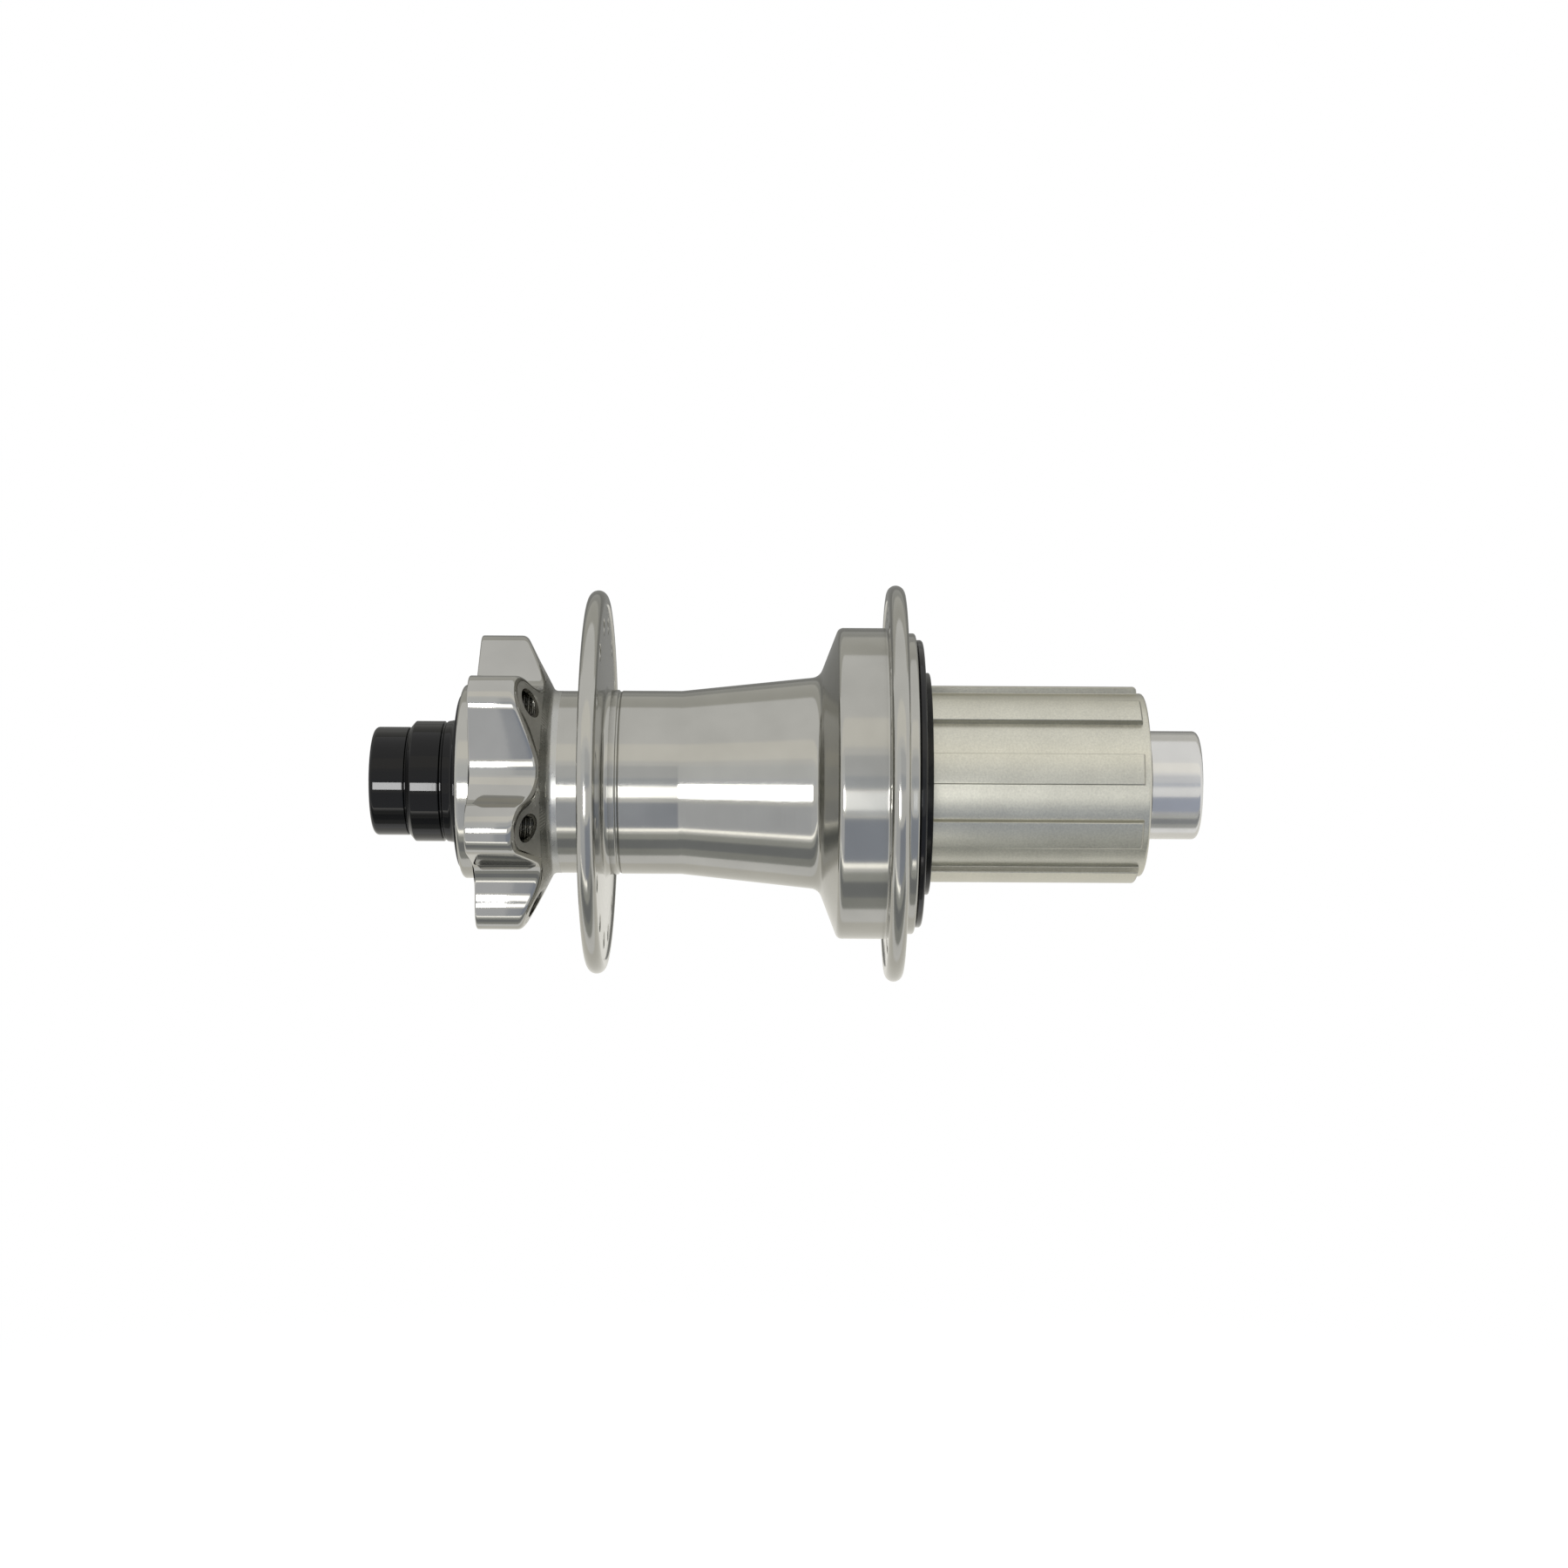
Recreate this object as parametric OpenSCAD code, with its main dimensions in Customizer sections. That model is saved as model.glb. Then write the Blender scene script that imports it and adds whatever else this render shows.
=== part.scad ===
// Rear bicycle disc hub for a thru axle, with a splined freehub.
// It is laid out along its own axle line, u, which runs from the disc side (-) to the drive
// side (+), and is then turned so that the axle lies along Y with the disc side at +Y.

/* [Overall] */
// Width over the two end faces
over_end = 148; // [147:0.5:151]
// Diameter of the bore for the thru axle
bore_d = 12.1; // [12:0.05:12.4]

/* [Disc mount] */
// Distance from the disc side end face to the rotor's seat
rotor_inset = 18.8; // [18.4:0.1:19.2]
// Diameter of the nose that centres the rotor
register_d = 34.9; // [34.7:0.05:35.2]
// Length of the nose in front of the rotor's seat
nose_len = 2.7; // [2.4:0.1:3]
// Diameter of the bolt circle
bolt_circle = 44; // [43.5:0.1:44.5]
// Number of rotor bolts
bolt_count = 6; // [6]
// Diameter of each tapped hole
bolt_hole_d = 4.2; // [4:0.1:4.6]
// Width of each tab round its bolt
lobe_d = 9.5; // [9:0.1:10]
// Angle from a tab's middle to the direction that its flat side faces
tab_flat_a = 56.5; // [54:0.5:60]
// Angle from a tab's middle to where its hooked side runs into the valley
tab_hook_a = 85; // [78:0.5:86]
// Thickness of a tab at its tip
tab_t = 8.4; // [7.5:0.1:9]
// Axial length of the sloped back of the tabs
tab_slope_len = 4.9; // [4.4:0.1:5.4]
// Turn of the first tab from upright, towards the back
tab_turn = -8.5; // [-15:0.5:15]

/* [Shell] */
// Barrel diameter beside the disc tabs
barrel_d = 32.8; // [32.2:0.1:33.4]
// Barrel diameter at the wide end of its taper
taper_d = 38.2; // [37:0.1:39]
// Diameter of the hollow along the shell
hollow_d = 25; // [24:0.5:26]
// Diameter of the drive housing
housing_d = 56; // [55.4:0.1:57]
// Distance from the middle to where the taper starts, on the disc side
taper_start = 18.8; // [14:0.1:24]
// Distance from the middle to where the taper ends, on the drive side
taper_end = 5; // [4.6:0.1:5.4]
// Axial length of the rise from the taper to the drive housing
rise_len = 5; // [4.6:0.1:5.2]
// Diameter of the shell's open rim beside the freehub
rim_d = 54.2; // [53.6:0.1:55]

/* [Flanges] */
// Number of spoke holes in each flange
spoke_count = 16; // [14:2:18]
// Diameter of a spoke hole
spoke_hole_d = 2.6; // [2.4:0.1:2.7]
// Distance from the middle to the disc side flange
left_flange_at = 33.8; // [32:0.1:34.4]
// Diameter of the disc side flange
left_flange_d = 69; // [67:0.5:71]
// Circle of spoke holes in the disc side flange
left_spoke_circle = 57; // [55:0.5:58]
// Distance from the middle to the drive side flange
right_flange_at = 19.5; // [18.6:0.1:19.8]
// Diameter of the drive side flange
right_flange_d = 71.3; // [70:0.1:73]
// Circle of spoke holes in the drive side flange
right_spoke_circle = 60.6; // [60.2:0.1:61]
// Width of the rounded bead round each flange
bead_w = 3.2; // [3:0.1:3.4]
// Thickness of each flange inside its bead
web_t = 2.5; // [2.2:0.1:2.8]
// Turn of the first spoke hole in the disc side flange from upright
spoke_turn = -7.2; // [-11:0.1:11]

/* [Freehub] */
// Distance from the drive side end face to the freehub's mouth
freehub_inset = 10; // [9:0.1:11]
// Length of the splines
spline_len = 37; // [36.5:0.1:37.5]
// Diameter over the splines
crest_d = 35.4; // [34.8:0.1:35.6]
// Diameter between the splines
root_d = 33; // [32.6:0.1:33.2]
// Number of splines
spline_count = 9; // [9]
// Angle that each spline fills
spline_angle = 18; // [16:0.5:20]
// Extra angle on the spline beside the narrow groove
wide_extra = 8; // [5:0.5:9]
// Diameter of the ring that the first sprocket stops against
stop_d = 40; // [39:0.5:41]
// Thickness of that ring
stop_t = 1.35; // [1.2:0.05:1.5]
// Diameter inside the lockring thread
lockring_d = 29.4; // [29.2:0.1:29.6]
// Length of the lockring thread
lockring_len = 7.5; // [7:0.1:8]
// Outside diameter of the drive seal
drive_seal_d = 51.8; // [51.4:0.1:52.4]
// Thickness of the drive seal
drive_seal_t = 1.1; // [1:0.05:1.2]

/* [Ratchet] */
// Number of ratchet teeth
tooth_count = 36; // [36]
// Diameter over the ratchet's tooth tips
tooth_tip_d = 42.4; // [42.3:0.1:42.6]
// Depth of a ratchet tooth
tooth_depth = 1.1; // [1:0.05:1.2]
// Outside diameter of the ratchet ring
ring_d = 50; // [49.6:0.1:50.4]
// Number of pawls
pawl_count = 6; // [6]
// Distance from the axle line to a pawl's pivot
pawl_pivot_r = 19; // [18.9:0.02:19.04]
// Distance from a pawl's pivot to its tip
pawl_len = 7; // [6.8:0.1:7.2]
// Diameter of a pawl's round heel
heel_d = 3; // [2.8:0.1:3.1]
// Length of a pawl along the axle
pawl_w = 7.4; // [7:0.1:7.6]

/* [Axle and bearings] */
// Diameter of the axle under the bearings
axle_d = 17; // [16.8:0.1:17.2]
// Diameter of the axle between the shell bearings
axle_mid_d = 20; // [19.6:0.1:20.4]
// Diameter of the axle's ends inside the end caps
spigot_d = 15.2; // [15:0.1:15.4]
// Length of each axle end inside its end cap
spigot_len = 7.5; // [7:0.1:8]
// Outside diameter of a shell bearing
shell_bearing_d = 30; // [29.6:0.1:30.2]
// Width of a shell bearing
shell_bearing_w = 7; // [6.6:0.1:7.2]
// Diameter of a shell bearing's balls
shell_ball_d = 3.5; // [3.3:0.1:3.6]
// Outside diameter of a freehub bearing
hub_bearing_d = 26; // [25.8:0.1:26.2]
// Width of a freehub bearing
hub_bearing_w = 5; // [4.9:0.05:5.2]
// Diameter of a freehub bearing's balls
hub_ball_d = 2.5; // [2.4:0.05:2.6]
// Distance from the nose's end to the disc side bearing
bearing_inset = 1.9; // [1.8:0.1:2.2]
// Distance from the middle to the drive side shell bearing
drive_bearing_at = 3; // [2.8:0.1:3.2]
// Thickness of the circlip
circlip_t = 1.1; // [1:0.1:1.2]

/* [End caps] */
// Diameter of both end caps where the frame holds them
cap_d = 19.5; // [19.2:0.05:19.6]
// Diameter of the disc side cap's body
cap_body_d = 21.7; // [21.4:0.1:22]
// Length of the disc side cap's narrow end
cap_step_len = 6.5; // [6.2:0.1:7.5]
// Length of the disc side cap's body
cap_body_len = 6.1; // [5.8:0.1:6.4]
// Diameter of the disc side cap's shield
shield_d = 31.4; // [31:0.1:31.5]
// Thickness of each cap's shield
shield_t = 1; // [0.8:0.05:1.1]
// Diameter of the drive side cap's shield
drive_shield_d = 26.8; // [26:0.1:27.4]

/* [Clearances] */
// Gap between faces that turn past each other
run_gap = 0.3; // [0.25:0.01:0.35]
// Gap round a pivot or a ball
pivot_gap = 0.06; // [0.05:0.01:0.08]
// Gap between pieces that are pressed or seated together
seat_gap = 0.02; // [0.01:0.01:0.03]
// Small chamfer on machined edges
edge = 0.5; // [0.3:0.05:0.6]

/* [Hidden] */
$fn = 72;
eps = 0.01; // how far a cut runs past the face that it opens

// Places along the axle line, from the disc side to the drive side
left_end = -over_end / 2;
right_end = over_end / 2;
rotor_face = left_end + rotor_inset;
nose_end = rotor_face - nose_len;
tab_tip_back = rotor_face + tab_t;
tab_back = tab_tip_back + tab_slope_len;
left_bearing_at = nose_end + bearing_inset;
left_flange = -left_flange_at;
right_flange = right_flange_at;
freehub_end = right_end - freehub_inset;
mouth_round = 1.3;
spline_end = freehub_end - mouth_round;
stop_face = spline_end - spline_len;
seal_out = stop_face - stop_t;
seal_in = seal_out - drive_seal_t;
rim_end = seal_in - run_gap * 0.7;
flange_in = rim_end - 1.8;
ring_end = flange_in - 2 * run_gap;
drive_bearing_end = drive_bearing_at + shell_bearing_w;
ring_start = drive_bearing_end + 0.6;
carrier_start = ring_start + run_gap;
inboard_at = carrier_start + 1.1;
inboard_end = inboard_at + hub_bearing_w;
circlip_out = freehub_end - lockring_len - 0.3;
outboard_end = circlip_out - circlip_t;
outboard_at = outboard_end - hub_bearing_w;

// Radii that follow from the sizes above
bore_r = bore_d / 2;
axle_r = axle_d / 2;
spigot_r = spigot_d / 2;
barrel_r = barrel_d / 2;
housing_r = housing_d / 2;
rim_r = rim_d / 2;
register_r = register_d / 2;
ring_r = ring_d / 2;
tip_r = tooth_tip_d / 2;
tooth_root_r = tip_r + tooth_depth;
carrier_r = tip_r - run_gap;
flange_disc_r = drive_seal_d / 2 - 2.1;
heel_r = heel_d / 2;
shoulder_r = hub_bearing_d / 2 - 1.2;

// The barrel's land and groove beside the disc side flange, and the flanges' fillets
land_rise = 0.4;
land_len = 1.1;
groove_w = 0.45;
groove_t = 0.35;
flange_fillet = 1;
web_foot_t = web_t + 0.7;

groove_at = left_flange + web_foot_t / 2 + flange_fillet + land_len;
spoke_sink = 0.5; // depth of the cone at each end of a spoke hole

// The nose's recess, with the end cap's shield and a dust seal in it
shield_at = nose_end - 0.5;
recess_r = shield_d / 2 + run_gap;
recess_end = shield_at + shield_t + run_gap;
dust_seal_t = left_bearing_at - recess_end - seat_gap;

// The tabs' outline: a flat leaves each lobe smoothly, and the valley's arc runs from it into the next lobe
lobe_r = lobe_d / 2;
bolt_r = bolt_circle / 2;
tab_tip_r = bolt_r + lobe_r;
tab_pitch = 360 / bolt_count;
hook_turn = tab_pitch - tab_hook_a;
bolt_step = polar(bolt_r, tab_pitch) - [bolt_r, 0];
valley_dent = bolt_step * polar(1, tab_flat_a) / (1 - cos(tab_flat_a - hook_turn)) - lobe_r;
valley_at = polar(bolt_r, tab_pitch) + polar(lobe_r + valley_dent, hook_turn);

// O-rings on the axle's ends, and how loosely the end caps sit there
cap_fit = 0.08;
oring_depth = 0.7;
oring_w = 1.2;
left_oring_at = left_bearing_at - spigot_len / 2;
right_oring_at = outboard_end + spigot_len / 2;

// Splines and circlip
spline_turn = 1; // the first spline's turn from upright
wide_spline = 4; // the spline that is wider on one side, which leaves one narrow groove
circlip_bite = 0.8; // how far the circlip reaches into the freehub's wall

// Bearing proportions: wall of a race, and the cage and seals between the races
shell_r = shell_bearing_d / 2;
hub_r = hub_bearing_d / 2;
race_open = 0.28; // share of a ball's diameter that each race's groove holds
cage_t = 1.2;
cage_w = 0.34; // rim of the cage beside each ball
seal_t = 0.5;
seal_in_from_face = 0.15;

// Pawl swing: 0 is lifted clear of the teeth, pawl_swing is dropped right into them
tip_clear = 0.2;
pawl_in_r = tip_r - tip_clear;
pawl_out_r = tooth_root_r - 0.3;
pawl_rest = pawl_lean(pawl_in_r);
pawl_swing = pawl_lean(pawl_out_r) - pawl_rest;
face_gap = 0.14;
pawl_pitch = 360 / pawl_count;
pawl_start = ring_start + 1.4;
pawl_turn = 20;
tooth_pitch = 360 / tooth_count;
pawl_nose_t = 1.5;
pawl_gap = 0.2; // beside each end of a pawl
pocket_floor = heel_r + 0.9;
leaf_t = 0.22;
leaf_lean = 12; // between a leaf spring's two legs

// The angle from a pawl's pivot to the drive face of the tooth that it drops against
face_tip_a = pawl_reach(tip_r, pawl_len + face_gap);
face_root_a = pawl_reach(tooth_root_r, pawl_len + face_gap);
root_land = 0.8;
tip_land = 0.6;

echo(pawl_swing = pawl_swing, pawl_middle = pawl_start + pawl_w / 2, rim_end = rim_end);

// Angle between a pawl and the tangent at its pivot when its tip is r from the axle line
function pawl_lean(r) =
    asin((r * r - pawl_pivot_r * pawl_pivot_r - pawl_len * pawl_len) / (2 * pawl_pivot_r * pawl_len));

// Angle at the axle line between a pawl's pivot and a point reach from it and r from the line
function pawl_reach(r, reach) =
    acos((pawl_pivot_r * pawl_pivot_r + r * r - reach * reach) / (2 * pawl_pivot_r * r));

// A point at radius r and an angle, in the plane across the axle line
function polar(r, a) = [r * cos(a), r * sin(a)];

// An arc's points in steps, from angle a to angle b round a centre
function arc(centre, r, a, b, steps) = [for (i = [0:steps]) centre + polar(r, a + (b - a) * i / steps)];

// One flange's outline as [radius, u], from its foot on the disc side to its foot on the drive side
function flange_outline(at, rim, foot_l, foot_r) = concat(
    arc([foot_l + flange_fillet, at - web_foot_t / 2 - flange_fillet], flange_fillet, 180, 90, 4),
    [[rim - bead_w, at - web_t / 2]],
    arc([rim - bead_w / 2, at], bead_w / 2, -130, 130, 12),
    [[rim - bead_w, at + web_t / 2]],
    arc([foot_r + flange_fillet, at + web_foot_t / 2 + flange_fillet], flange_fillet, -90, -180, 4)
);

// Turns a piece drawn along u so that u runs along -Y, with its own Y pointing up
module on_axle() rotate([90, 0, 0]) children();

// A ring between two radii and two places along u
module ring(r_in, r_out, from, to) {
    translate([0, 0, from]) difference() {
        cylinder(r = r_out, h = to - from);
        translate([0, 0, -eps]) cylinder(r = r_in, h = to - from + 2 * eps);
    }
}

// A solid of revolution from an outline of [radius, u] points
module turned(outline) rotate_extrude() polygon(outline);

// Copies round the axle line, the first at an angle from upright
module around(count, first) {
    for (i = [0:count - 1]) rotate([0, 0, 90 + first + i * 360 / count]) children();
}

// ---- Axle, end caps and spacers ----

module axle() color("silver") on_axle() difference() {
    turned([
        [bore_r, left_bearing_at - spigot_len],
        [spigot_r - edge, left_bearing_at - spigot_len],
        [spigot_r, left_bearing_at - spigot_len + edge],
        [spigot_r, left_bearing_at],
        [axle_r, left_bearing_at],
        [axle_r, left_bearing_at + shell_bearing_w],
        [axle_mid_d / 2, left_bearing_at + shell_bearing_w],
        [axle_mid_d / 2, drive_bearing_at],
        [axle_r, drive_bearing_at],
        [axle_r, outboard_end],
        [spigot_r, outboard_end],
        [spigot_r, outboard_end + spigot_len - edge],
        [spigot_r - edge, outboard_end + spigot_len],
        [bore_r, outboard_end + spigot_len],
    ]);
    oring_groove(left_oring_at);
    oring_groove(right_oring_at);
}

module oring_groove(at) ring(spigot_r - oring_depth, spigot_r + 1, at - oring_w / 2, at + oring_w / 2);

module oring(at) color("dimgray") on_axle() {
    section = (oring_depth + cap_fit) / 2 - seat_gap;
    rotate_extrude() translate([spigot_r - oring_depth + seat_gap + section, at]) circle(r = section, $fn = 24);
}

module left_end_cap() color("black") on_axle() turned([
    [bore_r, left_end],
    [cap_d / 2 - edge, left_end],
    [cap_d / 2, left_end + edge],
    [cap_d / 2, left_end + cap_step_len],
    [cap_body_d / 2 - edge, left_end + cap_step_len],
    [cap_body_d / 2, left_end + cap_step_len + edge],
    [cap_body_d / 2, left_end + cap_step_len + cap_body_len],
    [cap_body_d / 2 + 0.4, left_end + cap_step_len + cap_body_len + 1],
    [cap_body_d / 2 + 1.6, left_end + cap_step_len + cap_body_len + 2],
    [shield_d / 2 - edge, shield_at - 0.2],
    [shield_d / 2, shield_at],
    [shield_d / 2, shield_at + shield_t],
    [axle_r + 1.7, shield_at + shield_t],
    [axle_r + 1.7, left_bearing_at - seat_gap],
    [spigot_r + cap_fit, left_bearing_at - seat_gap],
    [spigot_r + cap_fit, left_bearing_at - spigot_len - seat_gap],
    [bore_r, left_bearing_at - spigot_len - seat_gap],
]);

module right_end_cap() color("gainsboro") on_axle() turned([
    [spigot_r + cap_fit, outboard_end + seat_gap],
    [axle_r + 1.4, outboard_end + seat_gap],
    [axle_r + 1.4, circlip_out + run_gap],
    [drive_shield_d / 2, circlip_out + run_gap],
    [drive_shield_d / 2, circlip_out + run_gap + shield_t],
    [cap_d / 2, circlip_out + run_gap + shield_t],
    [cap_d / 2, freehub_end - 0.6],
    [cap_d / 2 - edge, freehub_end - 0.6 + edge],
    [cap_d / 2 - edge, freehub_end + 0.4],
    [cap_d / 2, freehub_end + 0.4 + edge],
    [cap_d / 2, right_end - 2 * edge],
    [cap_d / 2 - 2 * edge, right_end],
    [bore_r, right_end],
    [bore_r, outboard_end + spigot_len + seat_gap],
    [spigot_r + cap_fit, outboard_end + spigot_len + seat_gap],
]);

module drive_spacer() color("lightgray") on_axle()
    ring(axle_r + seat_gap, axle_r + 1.5, drive_bearing_end + seat_gap, inboard_at - seat_gap);

module freehub_spacer() color("lightgray") on_axle()
    ring(axle_r + seat_gap, axle_r + 1.5, inboard_end + seat_gap, outboard_at - seat_gap);

// ---- Hub shell ----

function tab_outline() = [
    for (k = [0:bolt_count - 1], p = concat(
        arc([bolt_r, 0], lobe_r, -tab_hook_a, tab_flat_a, 12),
        arc(valley_at, valley_dent, 180 + tab_flat_a, 180 + hook_turn, 8)
    )) let (a = k * tab_pitch) [p[0] * cos(a) - p[1] * sin(a), p[0] * sin(a) + p[1] * cos(a)]
];

module rotor_tabs() intersection() {
    translate([0, 0, rotor_face]) rotate([0, 0, 90 + tab_turn])
        linear_extrude(height = tab_t + tab_slope_len) polygon(tab_outline());
    turned([
        [0, rotor_face],
        [tab_tip_r + 1, rotor_face],
        [tab_tip_r + 1, tab_tip_back - edge],
        [tab_tip_r - edge, tab_tip_back],
        [barrel_r + 0.4, tab_back],
        [0, tab_back],
    ]);
}

function shell_outline() = concat(
    [
        [hollow_d / 2, nose_end],
        [register_r - edge, nose_end],
        [register_r, nose_end + edge],
        [register_r, rotor_face],
        [barrel_r, rotor_face],
    ],
    flange_outline(left_flange, left_flange_d / 2, barrel_r, barrel_r + land_rise),
    [
        [barrel_r + land_rise, groove_at],
        [barrel_r - groove_t, groove_at],
        [barrel_r - groove_t, groove_at + groove_w],
        [barrel_r + 0.1, groove_at + groove_w],
        [barrel_r + 0.1, -taper_start],
        [taper_d / 2, taper_end],
        [taper_d / 2 + 0.35, taper_end + 0.16 * rise_len],
        [taper_d / 2 + 1.2, taper_end + 0.28 * rise_len],
        [housing_r - 1.6, taper_end + 0.76 * rise_len],
        [housing_r - 0.4, taper_end + 0.88 * rise_len],
        [housing_r, taper_end + rise_len],
    ],
    flange_outline(right_flange, right_flange_d / 2, housing_r, rim_r),
    [[rim_r, rim_end - edge], [rim_r - edge, rim_end], [hollow_d / 2, rim_end]]
);

module shell_hollow() turned([
    [0, nose_end - 1],
    [recess_r, nose_end - 1],
    [recess_r, recess_end + dust_seal_t],
    [shell_bearing_d / 2 + seat_gap, recess_end + dust_seal_t],
    [shell_bearing_d / 2 + seat_gap, left_bearing_at + shell_bearing_w],
    [hollow_d / 2, left_bearing_at + shell_bearing_w],
    [hollow_d / 2, drive_bearing_at],
    [shell_bearing_d / 2 + seat_gap, drive_bearing_at],
    [shell_bearing_d / 2 + seat_gap, ring_start],
    [ring_r + seat_gap, ring_start],
    [ring_r + seat_gap, rim_end + 1],
    [0, rim_end + 1],
]);

// A spoke hole through a flange, opened out by a cone on each side
module spoke_hole(at, circle_d) translate([circle_d / 2, 0, at]) {
    cylinder(d = spoke_hole_d, h = 3 * web_t, center = true, $fn = 24);
    for (side = [0, 180]) rotate([side, 0, 0]) translate([0, 0, web_t / 2 - spoke_sink + 0.1])
        cylinder(d1 = spoke_hole_d, d2 = spoke_hole_d + 2 * spoke_sink + 0.4, h = spoke_sink + 0.2, $fn = 24);
}

module hub_shell() color("lightsteelblue") on_axle() difference() {
    union() {
        turned(shell_outline());
        rotor_tabs();
    }
    shell_hollow();
    around(bolt_count, tab_turn) translate([bolt_r, 0, rotor_face - 1])
        cylinder(d = bolt_hole_d, h = tab_t + tab_slope_len + 2, $fn = 32);
    around(spoke_count, spoke_turn) spoke_hole(left_flange, left_spoke_circle);
    around(spoke_count, spoke_turn + 180 / spoke_count) spoke_hole(right_flange, right_spoke_circle);
}

module left_dust_seal() color("dimgray") on_axle()
    ring(axle_r + 1.7 + run_gap, recess_r - seat_gap, recess_end + seat_gap, recess_end + dust_seal_t - seat_gap);

// ---- Ratchet and pawls ----

function ratchet_outline() = [
    for (k = [0:tooth_count - 1], p = [
        polar(tip_r, -face_tip_a),
        polar(tooth_root_r, -face_root_a),
        polar(tooth_root_r, -face_root_a + root_land),
        polar(tip_r, -face_tip_a + tooth_pitch - tip_land)
    ]) let (a = 90 + pawl_turn + k * tooth_pitch) [p[0] * cos(a) - p[1] * sin(a), p[0] * sin(a) + p[1] * cos(a)]
];

module ratchet_ring() color("slategray") on_axle() difference() {
    translate([0, 0, ring_start + seat_gap]) cylinder(r = ring_r, h = ring_end - ring_start - seat_gap);
    translate([0, 0, ring_start - 1]) linear_extrude(height = ring_end - ring_start + 2) polygon(ratchet_outline());
}

// Puts a piece at pawl k's pivot: its X then runs along the tangent to the pawl's tip, its Y outwards
module at_pivot(k) rotate([0, 0, pawl_turn + (k - 1) * pawl_pitch]) translate([0, pawl_pivot_r, 0]) children();

module pawl(k) color("darkslategray") on_axle() at_pivot(k)
    translate([0, 0, pawl_start + pawl_gap]) rotate([0, 0, pawl_rest]) {
        cylinder(r = heel_r, h = pawl_w, $fn = 32);
        linear_extrude(height = pawl_w) polygon([
            [0, -heel_r * 0.98],
            [pawl_len - 0.3, -pawl_nose_t],
            [pawl_len, 0],
            [0, heel_r * 0.98],
        ]);
    }

module pawl_pocket(k) at_pivot(k) translate([0, 0, pawl_start]) {
    cylinder(r = heel_r + pivot_gap, h = pawl_w + 2 * pawl_gap, $fn = 32);
    translate([0, -pocket_floor, 0]) cube([pawl_len + 0.6, pocket_floor + heel_r + 4, pawl_w + 2 * pawl_gap]);
}

// A folded leaf: one leg lies on the pocket's floor, the other lifts the pawl
module pawl_spring(k) color("goldenrod") on_axle() at_pivot(k)
    translate([heel_r * 0.7, -pocket_floor + seat_gap, pawl_start + 3 * pawl_gap])
        linear_extrude(height = pawl_w - 4 * pawl_gap) {
            square([pawl_len - heel_r, leaf_t]);
            rotate(leaf_lean) square([(pawl_len - heel_r) * 0.85, leaf_t]);
        }

// ---- Freehub ----

module splines() intersection() {
    turned([
        [0, stop_face - 0.2],
        [crest_d / 2, stop_face - 0.2],
        [crest_d / 2, spline_end - edge],
        [root_d / 2 - 0.2, spline_end + 0.7],
        [0, spline_end + 0.7],
    ]);
    translate([0, 0, stop_face - 1]) linear_extrude(height = spline_len + 3) for (k = [0:spline_count - 1]) {
        half = spline_angle / 2;
        extra = k == wide_spline ? wide_extra : 0;
        a = 90 + spline_turn + k * 360 / spline_count;
        polygon([[0, 0], polar(crest_d, a - half), polar(crest_d, a + half + extra)]);
    }
}

module freehub_body() color("tan") on_axle() difference() {
    union() {
        translate([0, 0, carrier_start]) cylinder(r = carrier_r, h = flange_in - carrier_start + eps);
        translate([0, 0, flange_in]) cylinder(r = flange_disc_r, h = seal_out - flange_in);
        turned([
            [0, seal_out - 1],
            [stop_d / 2, seal_out - 1],
            [stop_d / 2, stop_face - edge / 2],
            [stop_d / 2 - edge / 2, stop_face],
            [root_d / 2, stop_face],
            [root_d / 2, spline_end],
            [root_d / 2 - 0.15, spline_end + mouth_round * 0.5],
            [root_d / 2 - 0.5, spline_end + mouth_round * 0.85],
            [root_d / 2 - 1, freehub_end],
            [0, freehub_end],
        ]);
        splines();
    }
    turned([
        [0, carrier_start - 1],
        [hub_bearing_d / 2 + seat_gap, carrier_start - 1],
        [hub_bearing_d / 2 + seat_gap, inboard_end],
        [shoulder_r, inboard_end],
        [shoulder_r, outboard_at],
        [hub_bearing_d / 2 + seat_gap, outboard_at],
        [hub_bearing_d / 2 + seat_gap, outboard_end],
        [hub_bearing_d / 2 + circlip_bite, outboard_end],
        [hub_bearing_d / 2 + circlip_bite, circlip_out],
        [hub_bearing_d / 2 + seat_gap, circlip_out],
        [hub_bearing_d / 2 + seat_gap, freehub_end - lockring_len],
        [lockring_d / 2, freehub_end - lockring_len],
        [lockring_d / 2, freehub_end + 1],
        [0, freehub_end + 1],
    ]);
    for (k = [1:pawl_count]) pawl_pocket(k);
}

module drive_seal() color("black") on_axle() turned([
    [flange_disc_r + seat_gap, seal_in],
    [drive_seal_d / 2, seal_in],
    [drive_seal_d / 2, seal_out - edge],
    [drive_seal_d / 2 - edge, seal_out],
    [flange_disc_r + seat_gap, seal_out],
]);

module circlip() color("gray") on_axle() difference() {
    ring(hub_bearing_d / 2 - 1, hub_bearing_d / 2 + circlip_bite - seat_gap,
        outboard_end + seat_gap, circlip_out - seat_gap);
    translate([0, 0, outboard_end - 1]) linear_extrude(height = circlip_t + 2)
        polygon([[0, 0], polar(hub_bearing_d, 90 - 9), polar(hub_bearing_d, 90 + 9)]);
}

// ---- Cartridge bearings, each between two radii, from a place along u ----

function pitch_r(r_out) = (axle_r + r_out) / 2;
function ball_count(r_out, ball_d) = floor(360 * 1.0 / (2 * asin(0.74 * ball_d / pitch_r(r_out))));

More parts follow.
